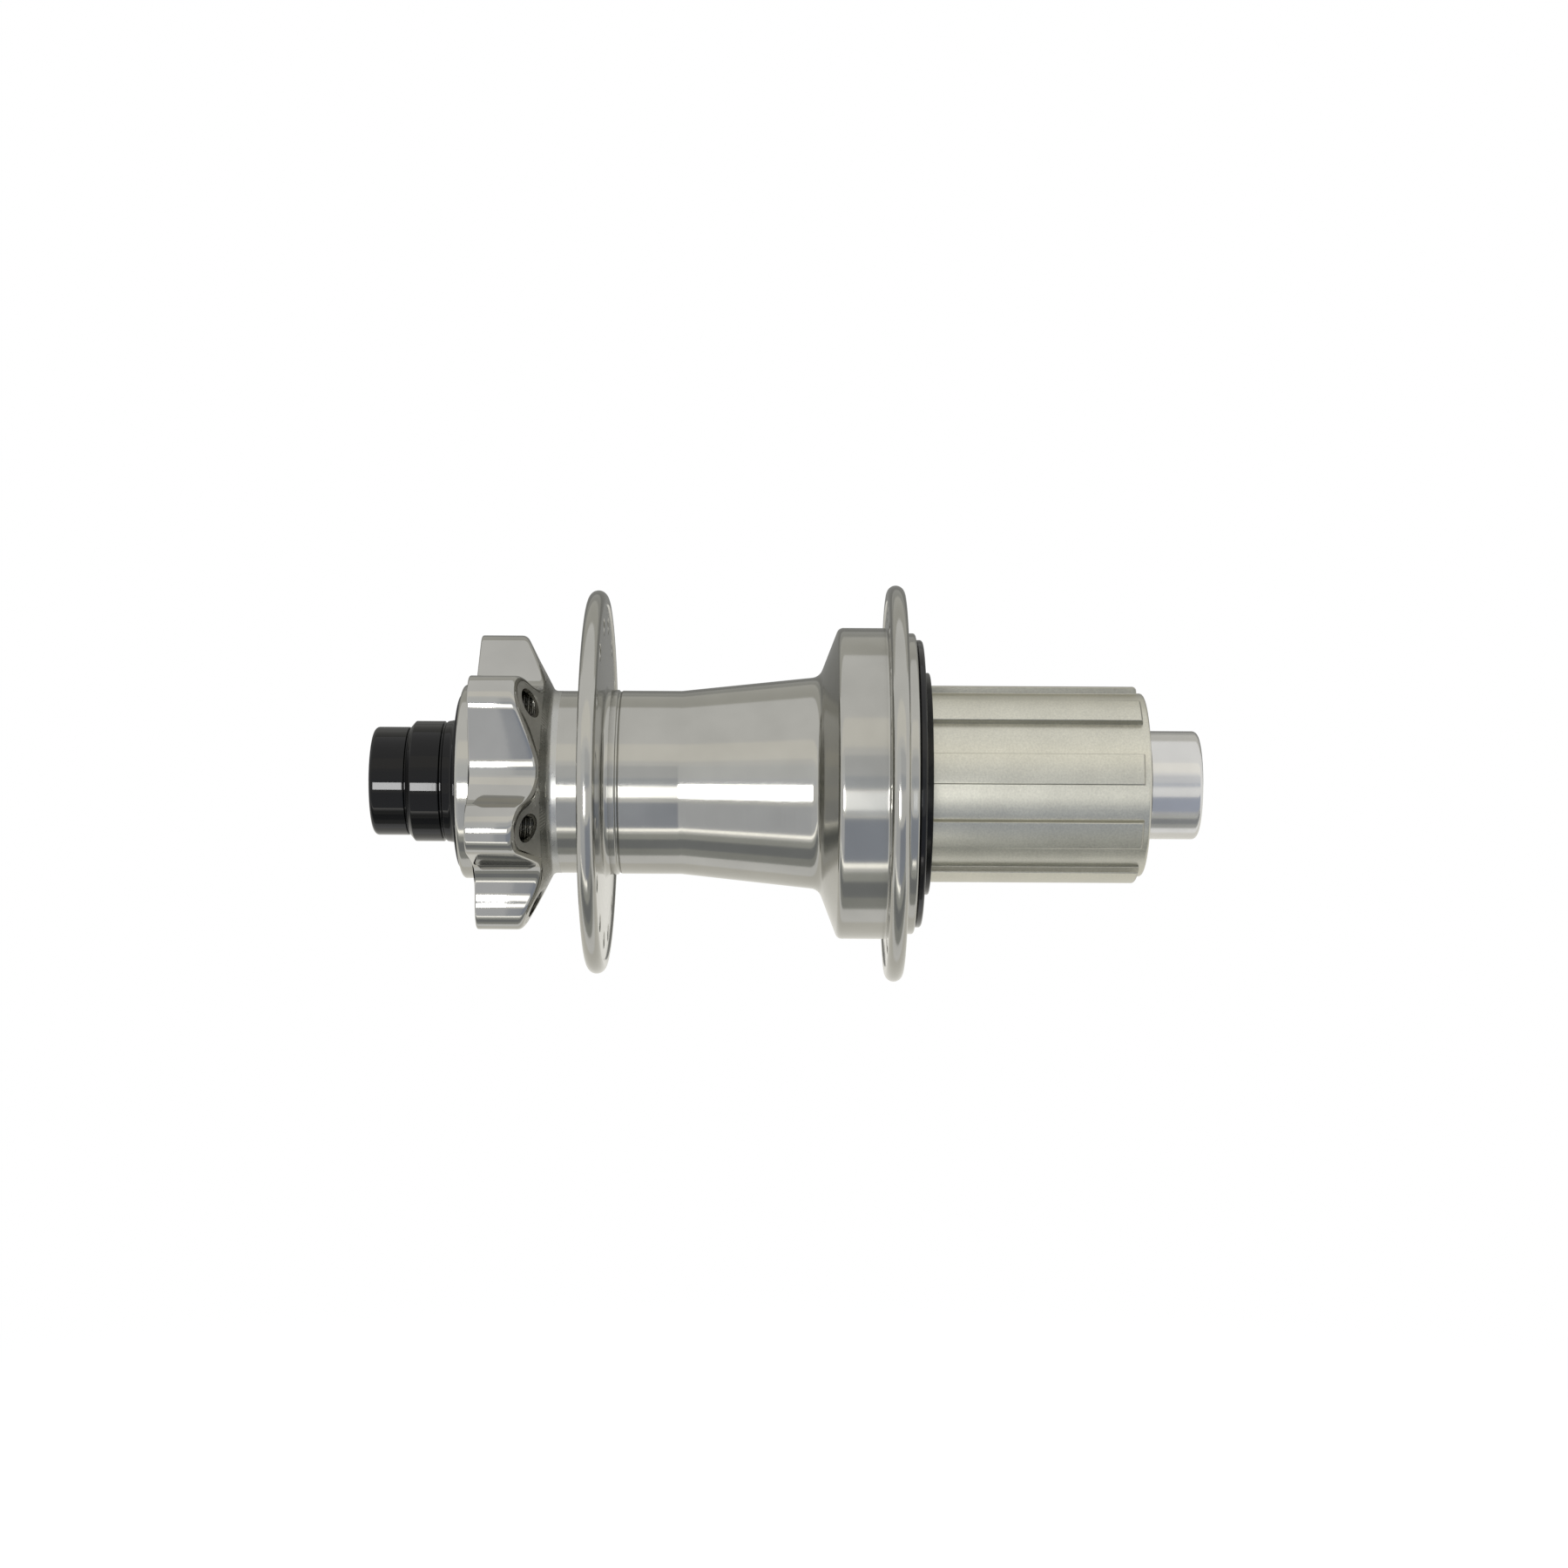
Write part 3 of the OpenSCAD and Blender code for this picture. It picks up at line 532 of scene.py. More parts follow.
@dataclass(frozen=True)
class Flange:
    """A spoke flange: a web that thins towards the rim, a round bead and a ring of spoke holes.

    The ring is the band of the web between two radii that the holes' own mesh fills.
    """

    at: float
    rim_r: float
    foot_r: float
    circle: float
    ring: tuple[float, float]
    turn: float = -7.2
    bead_w: float = 3.2
    bead_turn: float = 128.0
    bead_blend: float = 0.88
    web_foot: float = 3.2
    web_rim: float = 2.6
    hole_r: float = 1.3
    hole_flare: float = 0.35
    hole_count: int = 16

    def face(self, radius: Array | float, side: int) -> Array | float:
        """Place of the web's face on one side: it leans in a straight line from foot to rim."""
        reach = self.rim_r - self.bead_w - self.foot_r
        lean = (self.web_rim - self.web_foot) * (radius - self.foot_r) / reach
        return self.at + side * (self.web_foot + lean) / 2

    def corner(self, radius: float, side: int, rounding: float = 0) -> tuple[float, float, float]:
        """A corner of an outline that lies on the web's face."""
        return radius, self.face(radius, side), rounding

    def edge(self) -> Array:
        """The outline over the rim: the bead is an arc round the middle of the web.

        Returns:
            Points as (radius, along), from one border of the ring of holes to the other.
        """
        half = self.bead_w / 2
        middle = self.rim_r - half
        turn = np.radians(np.linspace(-self.bead_turn, self.bead_turn, 26))
        arc = joined(middle + half * np.cos(turn), self.at + half * np.sin(turn))
        radii = (self.ring[1], middle - half * self.bead_blend)
        start, end = ([self.corner(radius, side)[:2] for radius in radii] for side in (-1, 1))
        return np.concatenate([start, arc, end[::-1]])

    def holes(self, surface: Surface, steps: int) -> None:
        """Adds the ring of the flange that holds the spoke holes, and the holes' walls.

        Each hole has a sector of the ring. Points go in straight lines from the hole's edge to the sector's
        border, so the grid opens from a circle to the sector's four sides.

        Args:
            surface: Where the grids go.
            steps: Mesh lines for each hole along the ring.
        """
        inner, outer = self.ring
        half, rows = 180 / self.hole_count, 6
        sweep, climb = np.linspace(-half, half, steps + 1), np.linspace(inner, outer, rows + 1)
        border_r = np.concatenate([np.full(steps, inner), climb[:-1], np.full(steps, outer), climb[:0:-1]])
        border_a = np.concatenate([sweep[:-1], np.full(rows, half), sweep[:0:-1], np.full(rows, -half)])
        border = directions(np.radians(border_a)) * border_r[:, None]
        middle = np.array([0.0, self.circle])
        out = unit(border - middle)
        edge = middle + out * (self.hole_r + self.hole_flare)
        flat = edge + (border - edge) * np.array([0.0, 0.12, 0.5, 1.0])[:, None, None]
        bands = [(flat, self.face(polar(flat)[0], side)) for side in (-1, 1)]
        open_share = np.array([1.0, 0.45, 0.12, 0.0])
        sizes = np.concatenate([open_share, open_share[::-1]]) * self.hole_flare + self.hole_r
        depths = np.array([0.0, 0.12, 0.3, 0.6])[:, None]
        wall = middle + out * sizes[:, None, None]
        radius = polar(wall)[0]
        along = [self.face(radius[:4], -1) + depths, self.face(radius[4:], 1) - depths[::-1]]
        for flat, places in (*bands, (wall, np.concatenate(along))):
            for k in range(self.hole_count):
                surface.across(flat, places, self.turn + k * 2 * half)


@dataclass
class HubShell:
    """The shell: nose, waisted barrel, drive housing and two spoke flanges with their holes."""

    left: Flange = Flange(at=-33.8, rim_r=34.5, foot_r=16.4, circle=28.5, ring=(26.2, 30.9))
    # The drive side's holes stand half a pitch further round.
    right: Flange = Flange(at=19.5, rim_r=35.65, foot_r=28.0, circle=30.3, ring=(28.62, 32.0),
                           turn=Flange.turn + 180 / Flange.hole_count)
    nose_end: float = -57.9
    seat_back: float = -54.8
    register_r: float = 17.45
    recess_r: float = 16.0
    land_r: float = 16.65
    land_end: float = -30.1
    groove: tuple[float, float] = (-29.85, -29.6)
    groove_depth: float = 0.16
    waist_r: float = 16.5
    waist_from: float = -29.4
    taper_from: float = -18.8
    taper_r: float = 19.15
    taper_to: float = 5.95
    housing_at: float = 9.35
    lip_r: float = 27.1
    lip_end: float = 23.04
    ratchet_r: float = 25.02
    ratchet_end: float = 10.6
    bearing_r: float = 15.02
    bore_r: float = 12.5
    shoulders: tuple[float, float] = (-49.0, 3.0)
    bearing_face: float = -56.02
    facets: int = 240

    def build(self) -> None:
        """Makes the shell. Four turned outlines leave the rings open that the holes fill."""
        surface = Surface("shell_body")
        left, right = self.left, self.right
        # One lengthwise mesh line stands on each border between two spoke holes.
        angles = left.turn - 180 / left.hole_count + even_angles(self.facets)
        floor_r = self.waist_r - self.groove_depth
        outside = [
            left.corner(left.ring[0], 1), left.corner(self.land_r, 1, 1.7), (self.land_r, self.land_end, 0.3),
            (floor_r, self.groove[0], 0.2), (floor_r, self.groove[1], 0.15),
            (self.waist_r, self.waist_from, 0.3), (self.waist_r, self.taper_from, 2.0),
            (self.taper_r, self.taper_to, 2.2), (right.foot_r, self.housing_at, 1.2),
            right.corner(right.foot_r, -1, 0.5), right.corner(right.ring[0], -1)]
        inside = [
            right.corner(right.ring[0], 1), right.corner(self.lip_r, 1, 0.8),
            (self.lip_r, self.lip_end, 0.45), (self.ratchet_r, self.lip_end, 0.3),
            (self.ratchet_r, self.ratchet_end, 0.1), (self.bearing_r, self.ratchet_end, 0.2),
            (self.bearing_r, self.shoulders[1], 0.1), (self.bore_r, self.shoulders[1], 0.3),
            (self.bore_r, self.shoulders[0], 0.3), (self.bearing_r, self.shoulders[0], 0.1),
            (self.bearing_r, self.bearing_face, 0.1),
            (self.recess_r, self.bearing_face, 0.1), (self.recess_r, self.nose_end, 0.2),
            (self.register_r, self.nose_end, 0.9), (self.register_r, self.seat_back, 0.05),
            (left.foot_r, self.seat_back, 0.05), left.corner(left.foot_r, -1, 1.0),
            left.corner(left.ring[0], -1)]
        for outline in (left.edge(), right.edge(), rounded(outside), rounded(inside)):
            surface.turned(outline, angles)
        for flange in (left, right):
            flange.holes(surface, self.facets // flange.hole_count)
        surface.piece("hub_shell", [Finish.SHELL], ["hub_shell"])


@dataclass
class RotorMount:
    """The six tabs that carry the brake disc, with their scalloped outline, cone back and threaded holes."""

    count: int = 6
    turn: float = -8.5
    face: float = -55.2
    bolt_r: float = 22.0
    lobe_r: float = 4.75
    flat_angle: float = 56.5
    hook_angle: float = 85.0
    core_r: float = 16.1
    neck_r: float = 16.41
    tip_in: float = 0.5
    tip_back: float = -46.8
    foot_back: float = -41.9
    foot_r: float = 16.8
    front_round: float = 0.35
    back_round: float = 0.95
    hole_r: float = 2.1
    thread_pitch: float = 0.8
    thread_depth: float = 0.4
    thread_rows: int = 150
    thread_fade: float = 30.0
    ray_in: float = 2.5
    hole_flare: float = 0.45
    foot_fillet: float = 2.2
    fillet_top: float = 1.9
    buried: tuple[float, float] = (0.3, 1.5)

    def cone(self, radius: Array | float) -> Array | float:
        """Place of the cone back at a radius: a straight line from the lobe's tip to the foot."""
        tip = self.bolt_r + self.lobe_r - self.tip_in
        return self.tip_back + (tip - radius) * (self.foot_back - self.tip_back) / (tip - self.foot_r)

    def outline(self) -> tuple[Array, Array]:
        """One tab's outline across the axle line, and its outward directions.

        A lobe is an arc round the bolt. On one side a flat leaves it smoothly and ends where the valley's
        arc starts. That arc turns on until it runs into the next lobe, so its centre stands a lobe's and its
        own radius from the next bolt, and its radius from the flat's line.

        Returns:
            Points and directions over one pitch as (sideways, outwards), with a lobe's hooked side first.
        """
        pitch = 2 * math.pi / self.count
        flat, hook = math.radians(self.flat_angle), math.radians(self.hook_angle)
        bolt, after = directions(0.0) * self.bolt_r, directions(pitch) * self.bolt_r
        turn = pitch - hook
        dent = float((after - bolt) @ directions(flat)) / (1 - math.cos(flat - turn)) - self.lobe_r
        middle = after + (self.lobe_r + dent) * directions(turn)
        lobe_n = directions(np.linspace(-hook, flat, 44))
        dip_n = directions(np.linspace(flat, turn, 16))
        dip = middle - dent * dip_n
        lobe = bolt + self.lobe_r * lobe_n
        side = lobe[-1] + (dip[0] - lobe[-1]) * np.linspace(0, 1, 8)[1:-1, None]
        side_n = np.broadcast_to(lobe_n[-1], side.shape)
        # The border to the next tab is where the valley's arc crosses the middle between two bolts.
        cut = int(np.argmin(np.abs(np.arctan2(dip[:, 0], dip[:, 1]) - pitch / 2)))
        back, cos, sin = dip[cut:], math.cos(pitch), math.sin(pitch)
        unturn = np.array([[cos, sin], [-sin, cos]])
        points = np.concatenate([back @ unturn, lobe[1:], side, dip[: cut + 1]])
        outward = np.concatenate([dip_n[cut:] @ unturn, lobe_n[1:], side_n, dip_n[: cut + 1]])
        return points, outward

    def wall(self, rim: Array, outward: Array) -> tuple[Array, Array]:
        """The tab's side wall: a quarter round at the front and a soft parabola into the cone back.

        Args:
            rim: The tab's outline.
            outward: Its outward directions.

        Returns:
            Points as (sideways, outwards), and their places along the axle line.
        """
        turn = np.radians(np.linspace(0, 90, 6))[:, None]
        near = rim - outward * self.front_round * (1 - np.sin(turn[..., None]))
        near_u = self.face + self.front_round * (1 - np.cos(turn))
        bend = np.linspace(0, 1, 8)[:, None]
        far = rim - outward * self.back_round * bend[..., None] ** 2
        rim_u, in_u = self.cone(polar(rim)[0]), self.cone(polar(rim - outward * self.back_round)[0])
        far_u = (1 - bend) ** 2 * (rim_u - self.back_round) + 2 * bend * (1 - bend) * rim_u + bend**2 * in_u
        return np.concatenate([near, far]), np.concatenate([np.broadcast_to(near_u, (6, len(rim))), far_u])

    def build(self) -> None:
        """Makes the tabs: front, side wall, cone back and hole for one tab, then the same turned round."""
        surface = Surface("rotor_mount")
        rim, outward = self.outline()
        half = math.pi / self.count
        core = directions(np.linspace(half, -half, 25)) * self.core_r

        def border(inset: float) -> Array:
            """The tab's whole border: its outline set in a little, then the core's arc back."""
            outer = rim - outward * inset
            side = np.linspace(0, 1, 4)[1:-1, None]
            return np.concatenate([outer, outer[-1] + (core[0] - outer[-1]) * side, core,
                                   core[-1] + (outer[0] - core[-1]) * side])

        # The grids of front and back open from the hole along rays from a point a little inside the bolt.
        sight = unit(border(0.0) - np.array([0.0, self.bolt_r - self.ray_in]))
        bolt = np.array([0.0, self.bolt_r])
        part = np.array([0.0, 0.15, 0.5, 1.0])[:, None, None]
        mouth, hole = bolt + sight * (self.hole_r + self.hole_flare), bolt + sight * self.hole_r
        front = mouth + (border(self.front_round) - mouth) * part
        back = mouth + (border(self.back_round) - mouth) * part
        wall, wall_u = self.wall(rim, outward)
        mouth_u = self.cone(polar(mouth)[0])
        end_u = mouth_u - self.hole_flare
        # The thread is a wave that climbs one pitch each turn and fades out at both ends of the bore.
        part = np.linspace(0, 1, self.thread_rows)[:, None]
        bore_u = self.face + self.hole_flare + (end_u - self.face - self.hole_flare) * part
        fade = np.minimum(1, np.minimum(part, 1 - part) * self.thread_fade)
        bore_a = np.arctan2(sight[:, 0], sight[:, 1])
        wave = 0.5 - 0.5 * np.cos(2 * np.pi * (bore_u / self.thread_pitch) - bore_a)
        bore_r = self.hole_r + self.thread_depth * fade * wave**1.5
        bore = bolt + sight * bore_r[..., None]
        flare = np.stack([mouth, hole])
        flare_u = np.array([[self.face], [self.face + self.hole_flare]])
        inner_u = np.stack([np.full(len(core), self.face), self.cone(polar(core)[0])])
        parts = (
            (front, np.full((1, 1), self.face), True, 0), (wall, wall_u, False, 0), (flare, flare_u, True, 0),
            (back, self.cone(polar(back)[0]), True, 1), (np.stack([core, core]), inner_u, False, 1),
            (flare, np.stack([mouth_u, end_u]), True, 2), (bore, bore_u, True, 2))
        for k in range(self.count):
            for flat, along, ring, mark in parts:
                surface.across(flat, along, self.turn + k * 360 / self.count, mark, ring)
        # The fillet where the cone back runs out on the neck is a closed ring with its other sides buried.
        high, neck = self.foot_r + self.fillet_top, self.neck_r
        neck_u, (inwards, beyond) = float(self.cone(neck)), self.buried
        surface.turned(rounded([
            (high, float(self.cone(high)), 0), (neck, neck_u, self.foot_fillet), (neck, neck_u + beyond, 0),
            (neck - inwards, neck_u + beyond, 0), (neck - inwards, float(self.cone(high)), 0)]),
            even_angles(), 3, closed=True)
        finishes = [Finish.TABS, Finish.TAB_BACKS, Finish.THREADS, Finish.FILLET]
        surface.piece("hub_shell", finishes, ["hub_shell"])


@dataclass
class Freehub:
    """The freehub: splined sleeve with stop ring and lockring thread, and the carrier with pawl pockets."""

    root_r: float = 16.5
    crest_r: float = 17.7
    spline_count: int = 9
    spline_angle: float = 18.0
    wide_spline: int = 4
    wide_extra: float = 8.0
    first: float = 1.0
    fade_back: tuple[float, ...] = (0.42, 0.25, 0.12, 0.03)
    fade_share: tuple[float, ...] = (1.0, 0.93, 0.8, 0.6, 0.4, 0.0)
    stop_face: float = 25.7
    stop_back: float = 24.35
    stop_r: float = 20.0
    disc_r: float = 23.78
    disc_back: float = 21.24
    inner_r: float = 20.4
    spline_end: float = 62.75
    end: float = 64.0
    thread_r: float = 14.7
    thread_end: float = 56.5
    thread_depth: float = 0.42
    bearing_r: float = 13.02
    bearing_face: float = 50.1
    shoulder_r: float = 11.8
    shoulder_from: float = 17.0
    shoulder_end: float = 21.4
    carrier_r: float = 20.9
    carrier_from: float = 10.9
    pawl_count: int = 6
    pawl_turn: float = 20.0
    pivot_r: float = 19.0
    pocket_from: float = 12.0
    pocket_to: float = 19.8
    pocket_r: float = 1.56
    pocket_floor: float = 2.4
    pocket_len: float = 7.6

    def section(self) -> tuple[Array, Array]:
        """The splines across the axle line.

        Returns:
            Angles in degrees all round, and the share of the spline's height at each.
        """
        degrees_per_mm = 360 / (2 * math.pi * self.crest_r)
        rise_a = np.array([-0.2, -0.05, 0.0, 0.02, 0.05, 0.12, 0.3]) * degrees_per_mm
        rise_h = np.array([0.0, 0.02, 0.12, 0.8, 0.93, 0.99, 1.0])
        angles, heights = [], []
        for k in range(self.spline_count):
            middle = self.first + k * 360 / self.spline_count
            low = middle - self.spline_angle / 2
            high = middle + self.spline_angle / 2 + (self.wide_extra if k == self.wide_spline else 0)
            after = low + 360 / self.spline_count
            top = np.linspace(low + rise_a[-1], high - rise_a[-1], 12)[1:-1]
            foot = np.linspace(high - rise_a[0], after + rise_a[0], 12)[1:-1]
            angles += [low + rise_a, top, high - rise_a[::-1], foot]
            heights += [rise_h, np.ones(10), rise_h[::-1], np.zeros(10)]
        return np.concatenate(angles), np.concatenate(heights)

    def sleeve(self) -> None:
        """Makes the splined sleeve as one closed grid.

        The radius is the turned outline's, plus the spline's height times the section's share at that angle
        times a share along the axle line, which falls to nothing at the spline's end.
        """
        angles, heights = self.section()
        turns = np.arange(0, 13) * 0.5
        thread = joined(self.thread_r + self.thread_depth * (turns % 1 > 0.25), self.end - 0.75 - turns)
        stop = [
            (self.inner_r, self.disc_back, 0), (self.disc_r, self.disc_back, 0.2),
            (self.disc_r, self.stop_back, 0.15), (self.stop_r, self.stop_back, 0.05),
            (self.stop_r, self.stop_face, 0.3)]
        body = rounded([*stop, (self.root_r, self.stop_face, 0.12), (self.root_r, self.spline_end, 0)])
        mouth = rounded([
            (self.root_r, self.spline_end, 0), (self.root_r, self.end, 0.95),
            (self.thread_r + 0.6, self.end, 0.25), (self.thread_r + 0.1, self.end - 0.6, 0)])[1:]
        inside = rounded([
            (self.thread_r, self.thread_end, 0), (self.bearing_r, self.thread_end, 0.1),
            (self.bearing_r, self.bearing_face, 0.1), (self.shoulder_r, self.bearing_face, 0.2),
            (self.shoulder_r, self.shoulder_from, 0.2), (self.inner_r, self.shoulder_from, 0)])
        # The last corner only steers its rounding. The bore itself ends here.
        inside[-1] = (self.shoulder_r, self.shoulder_end)
        ends = np.array([[self.root_r, self.spline_end - back] for back in self.fade_back])
        outer = np.concatenate([body[:-1], ends, body[-1:], body[-1:]])
        outline = np.concatenate([outer, mouth, thread, inside])
        on_root = np.abs(outline[:, 0] - self.root_r) <= 0.001
        share = np.where(on_root & (outline[:, 1] >= self.stop_face - 1e-6), 1.0, 0.0)
        share[len(outer) - len(self.fade_share) : len(outer)] = self.fade_share
        share[len(outer) :] = 0
        radius = outline[:, :1] + (self.crest_r - self.root_r) * share[:, None] * heights[None, :]
        points = around(radius, angles[None, :], outline[:, 1:])
        ring_rows = len(rounded([*stop, (self.root_r, self.stop_face, 0)])) - 2
        surface = Surface("freehub_sleeve")
        surface.grid(points[: ring_rows + 1], 1)
        surface.grid(points[ring_rows:], 0)
        surface.grid(np.stack([points[-1], points[0]]), 1)
        finishes = [Finish.FREEHUB, Finish.STOP_RING]
        surface.piece("freehub", finishes, ["freehub_body"], crease=40)

    def carrier(self) -> None:
        """Makes the pawl carrier.

        A pocket is cut square across its length, with a round heel seat at its pivot. Both ends of each
        pocket are flat faces between the carrier's arc and the pocket's outline.
        """
        surface = Surface("pawl_carrier")
        pitch = 360 / self.pawl_count
        mouth = math.asin(self.pocket_len / self.carrier_r)
        arc_over = directions(np.linspace(0, mouth, 8)) * self.carrier_r
        arc_rest = directions(np.linspace(mouth, math.radians(pitch), 14))[1:-1] * self.carrier_r
        heel = np.radians(np.linspace(90, 270, 13))
        seat = joined(np.cos(heel), np.sin(heel)) * self.pocket_r + (0, self.pivot_r)
        floor = self.pivot_r - self.pocket_floor
        low = np.array([[0, floor], [self.pocket_len, floor]])
        pocket = np.concatenate([arc_over[:1], seat, low, arc_over[-1:]])

        def copies(*parts: Array) -> Array:
            """Turned copies of the parts, one for each pawl, as (sideways, outwards)."""
            one = np.concatenate(parts)
            turns = np.radians(self.pawl_turn - pitch * np.arange(self.pawl_count))[:, None]
            x = one[:, 0] * np.cos(turns) - one[:, 1] * np.sin(turns)
            y = one[:, 0] * np.sin(turns) + one[:, 1] * np.cos(turns)
            return joined(x, y)

        def lift(flat: Array, along: float) -> Array:
            """Points across the axle line, set at a place along it."""
            return joined(flat[..., 0], -along, flat[..., 1])

        full = copies(arc_over, arc_rest).reshape(-1, 2)
        cut = copies(pocket, arc_rest).reshape(-1, 2)
        bore = full / self.carrier_r * self.bearing_r
        front, chamfer, to = self.carrier_from, self.carrier_from + 0.3, self.disc_back + 0.15
        for rows in (
            ((bore, chamfer), (bore * 1.02, front), (full * 0.985, front), (full, chamfer),
             (full, self.pocket_from)),
            ((cut, self.pocket_from), (cut, self.pocket_to)),
            ((full, self.pocket_to), (full, to), (bore, to), (bore, chamfer)),
        ):
            surface.grid(np.stack([lift(*row) for row in rows]))
        for along in (self.pocket_from, self.pocket_to):
            for end in copies(pocket, arc_over[-2:0:-1]):
                surface.polygon(lift(end, along))
        surface.piece("freehub", [Finish.STOP_RING], ["freehub_body"])


@dataclass
class EndCaps:
    """The black cap with its thin shield on the disc side, and the polished cap on the drive side."""

    bore_r: float = 6.05
    socket_r: float = 7.68
    pin_r: float = 9.75
    end: float = 74.0
    body_r: float = 10.85
    shield_r: float = 15.7

    def build(self) -> None:
        """Turns both caps from their outlines."""
        left = Surface("left_cap")
        left.ring([
            (self.bore_r, -66.0, 0), (self.bore_r, -self.end, 0.35), (self.pin_r, -self.end, 0.85),
            (self.pin_r, -67.8, 0.12), (self.pin_r - 0.3, -67.65, 0.08), (self.pin_r - 0.3, -67.45, 0.08),
            (self.pin_r + 0.1, -67.4, 0.08), (self.body_r, -66.55, 0.3), (self.body_r, -61.5, 0.2),
            (self.body_r - 0.25, -61.3, 0.1), (self.body_r - 0.25, -61.05, 0.1), (self.body_r, -60.8, 0.2),
            (self.body_r + 0.3, -58.95, 2.2), (self.shield_r, -58.45, 0.25), (self.shield_r, -57.4, 0.25),
            (10.2, -57.4, 0.2), (10.2, -56.02, 0.1), (self.socket_r, -56.02, 0.2),
            (self.socket_r, -63.52, 0.1), (self.bore_r, -63.52, 0.3)])
        right = Surface("right_cap")
        right.ring([
            (self.bore_r, 68.0, 0), (self.bore_r, self.end, 0.35), (self.pin_r, self.end, 0.95),
            (self.pin_r, 64.85, 0.2), (self.pin_r - 0.45, 64.7, 0.1), (self.pin_r - 0.45, 63.8, 0.1),
            (self.pin_r, 63.6, 0.2), (self.pin_r, 57.5, 0.4), (13.4, 57.5, 0.25), (13.4, 56.5, 0.25),
            (9.9, 56.5, 0.2), (9.9, 55.12, 0.1), (self.socket_r, 55.12, 0.2), (self.socket_r, 62.62, 0.1),
            (self.bore_r, 62.62, 0.3)])
        left.piece("axle_assembly", [Finish.BLACK_CAP], ["left_end_cap"])
        right.piece("axle_assembly", [Finish.SILVER_CAP], ["right_end_cap"])


@dataclass
class DriveSeal:
    """The rubber ring that closes the gap between shell and freehub."""

    inner: float = 23.8
    outer: float = 25.9
    start: float = 23.25
    end: float = 24.35

    def build(self) -> None:
        """Turns the ring, with a soft outer corner."""
        surface = Surface("drive_lip_seal")
        surface.ring([
            (self.inner, (self.start + self.end) / 2, 0), (self.inner, self.start, 0.1),
            (self.outer, self.start, 0.2), (self.outer, self.end, 0.5), (self.inner, self.end, 0.1)])
        surface.piece("freehub", [Finish.SEAL], ["drive_seal"])


@dataclass
class InnerWorks:
    """The CAD nodes that stay: axle, spacers, bearings, ratchet, pawls and springs, each in its finish."""

    finishes: dict[str, Finish] = field(default_factory=lambda: {
        "axle": Finish.AXLE, "spacer": Finish.AXLE, "race": Finish.RACE, "balls": Finish.BALL,
        "cage": Finish.CAGE, "seal": Finish.SEAL, "oring": Finish.SEAL, "ratchet": Finish.RATCHET,
        "circlip": Finish.SPRING, "pawl_spring": Finish.SPRING, "pawl": Finish.PAWL})

    def dress(self) -> None:
        """Gives each node that still shows the finish with the longest matching word."""
        made: dict[Finish, Material] = {}
        count = 0
        for name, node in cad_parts.items():
            words = [word for word in self.finishes if word in name]
            if node.hide_render or not words:
                continue
            finish = self.finishes[max(words, key=len)]
            if finish not in made:
                made[finish] = finish.value.material()
            for place in node.material_slots:
                place.material = made[finish]
            count += 1
        LOG.info("inner works: %d nodes dressed", count)


# ---- Studio ----


def stand(thing: Object, right: Sequence[float], up: Sequence[float], back: Sequence[float],
          spot: Sequence[float]) -> None:
    """Places a lamp or camera at a spot, with its own three axes given in the scene's."""
    thing.matrix_world = Matrix([[right[i], up[i], back[i], spot[i]] for i in range(3)] + [[0, 0, 0, 1]])


@dataclass(frozen=True)
class Card:
    """A long curved card or lamp round the hub, seen only in reflections.

    It reaches from a low to a high elevation, in degrees above the camera's side, and from right to left
    along the axle, in metres.
    """

    name: str
    low: float
    high: float
    hex: str
    level: float
    right: float = -1.3
    left: float = 1.3


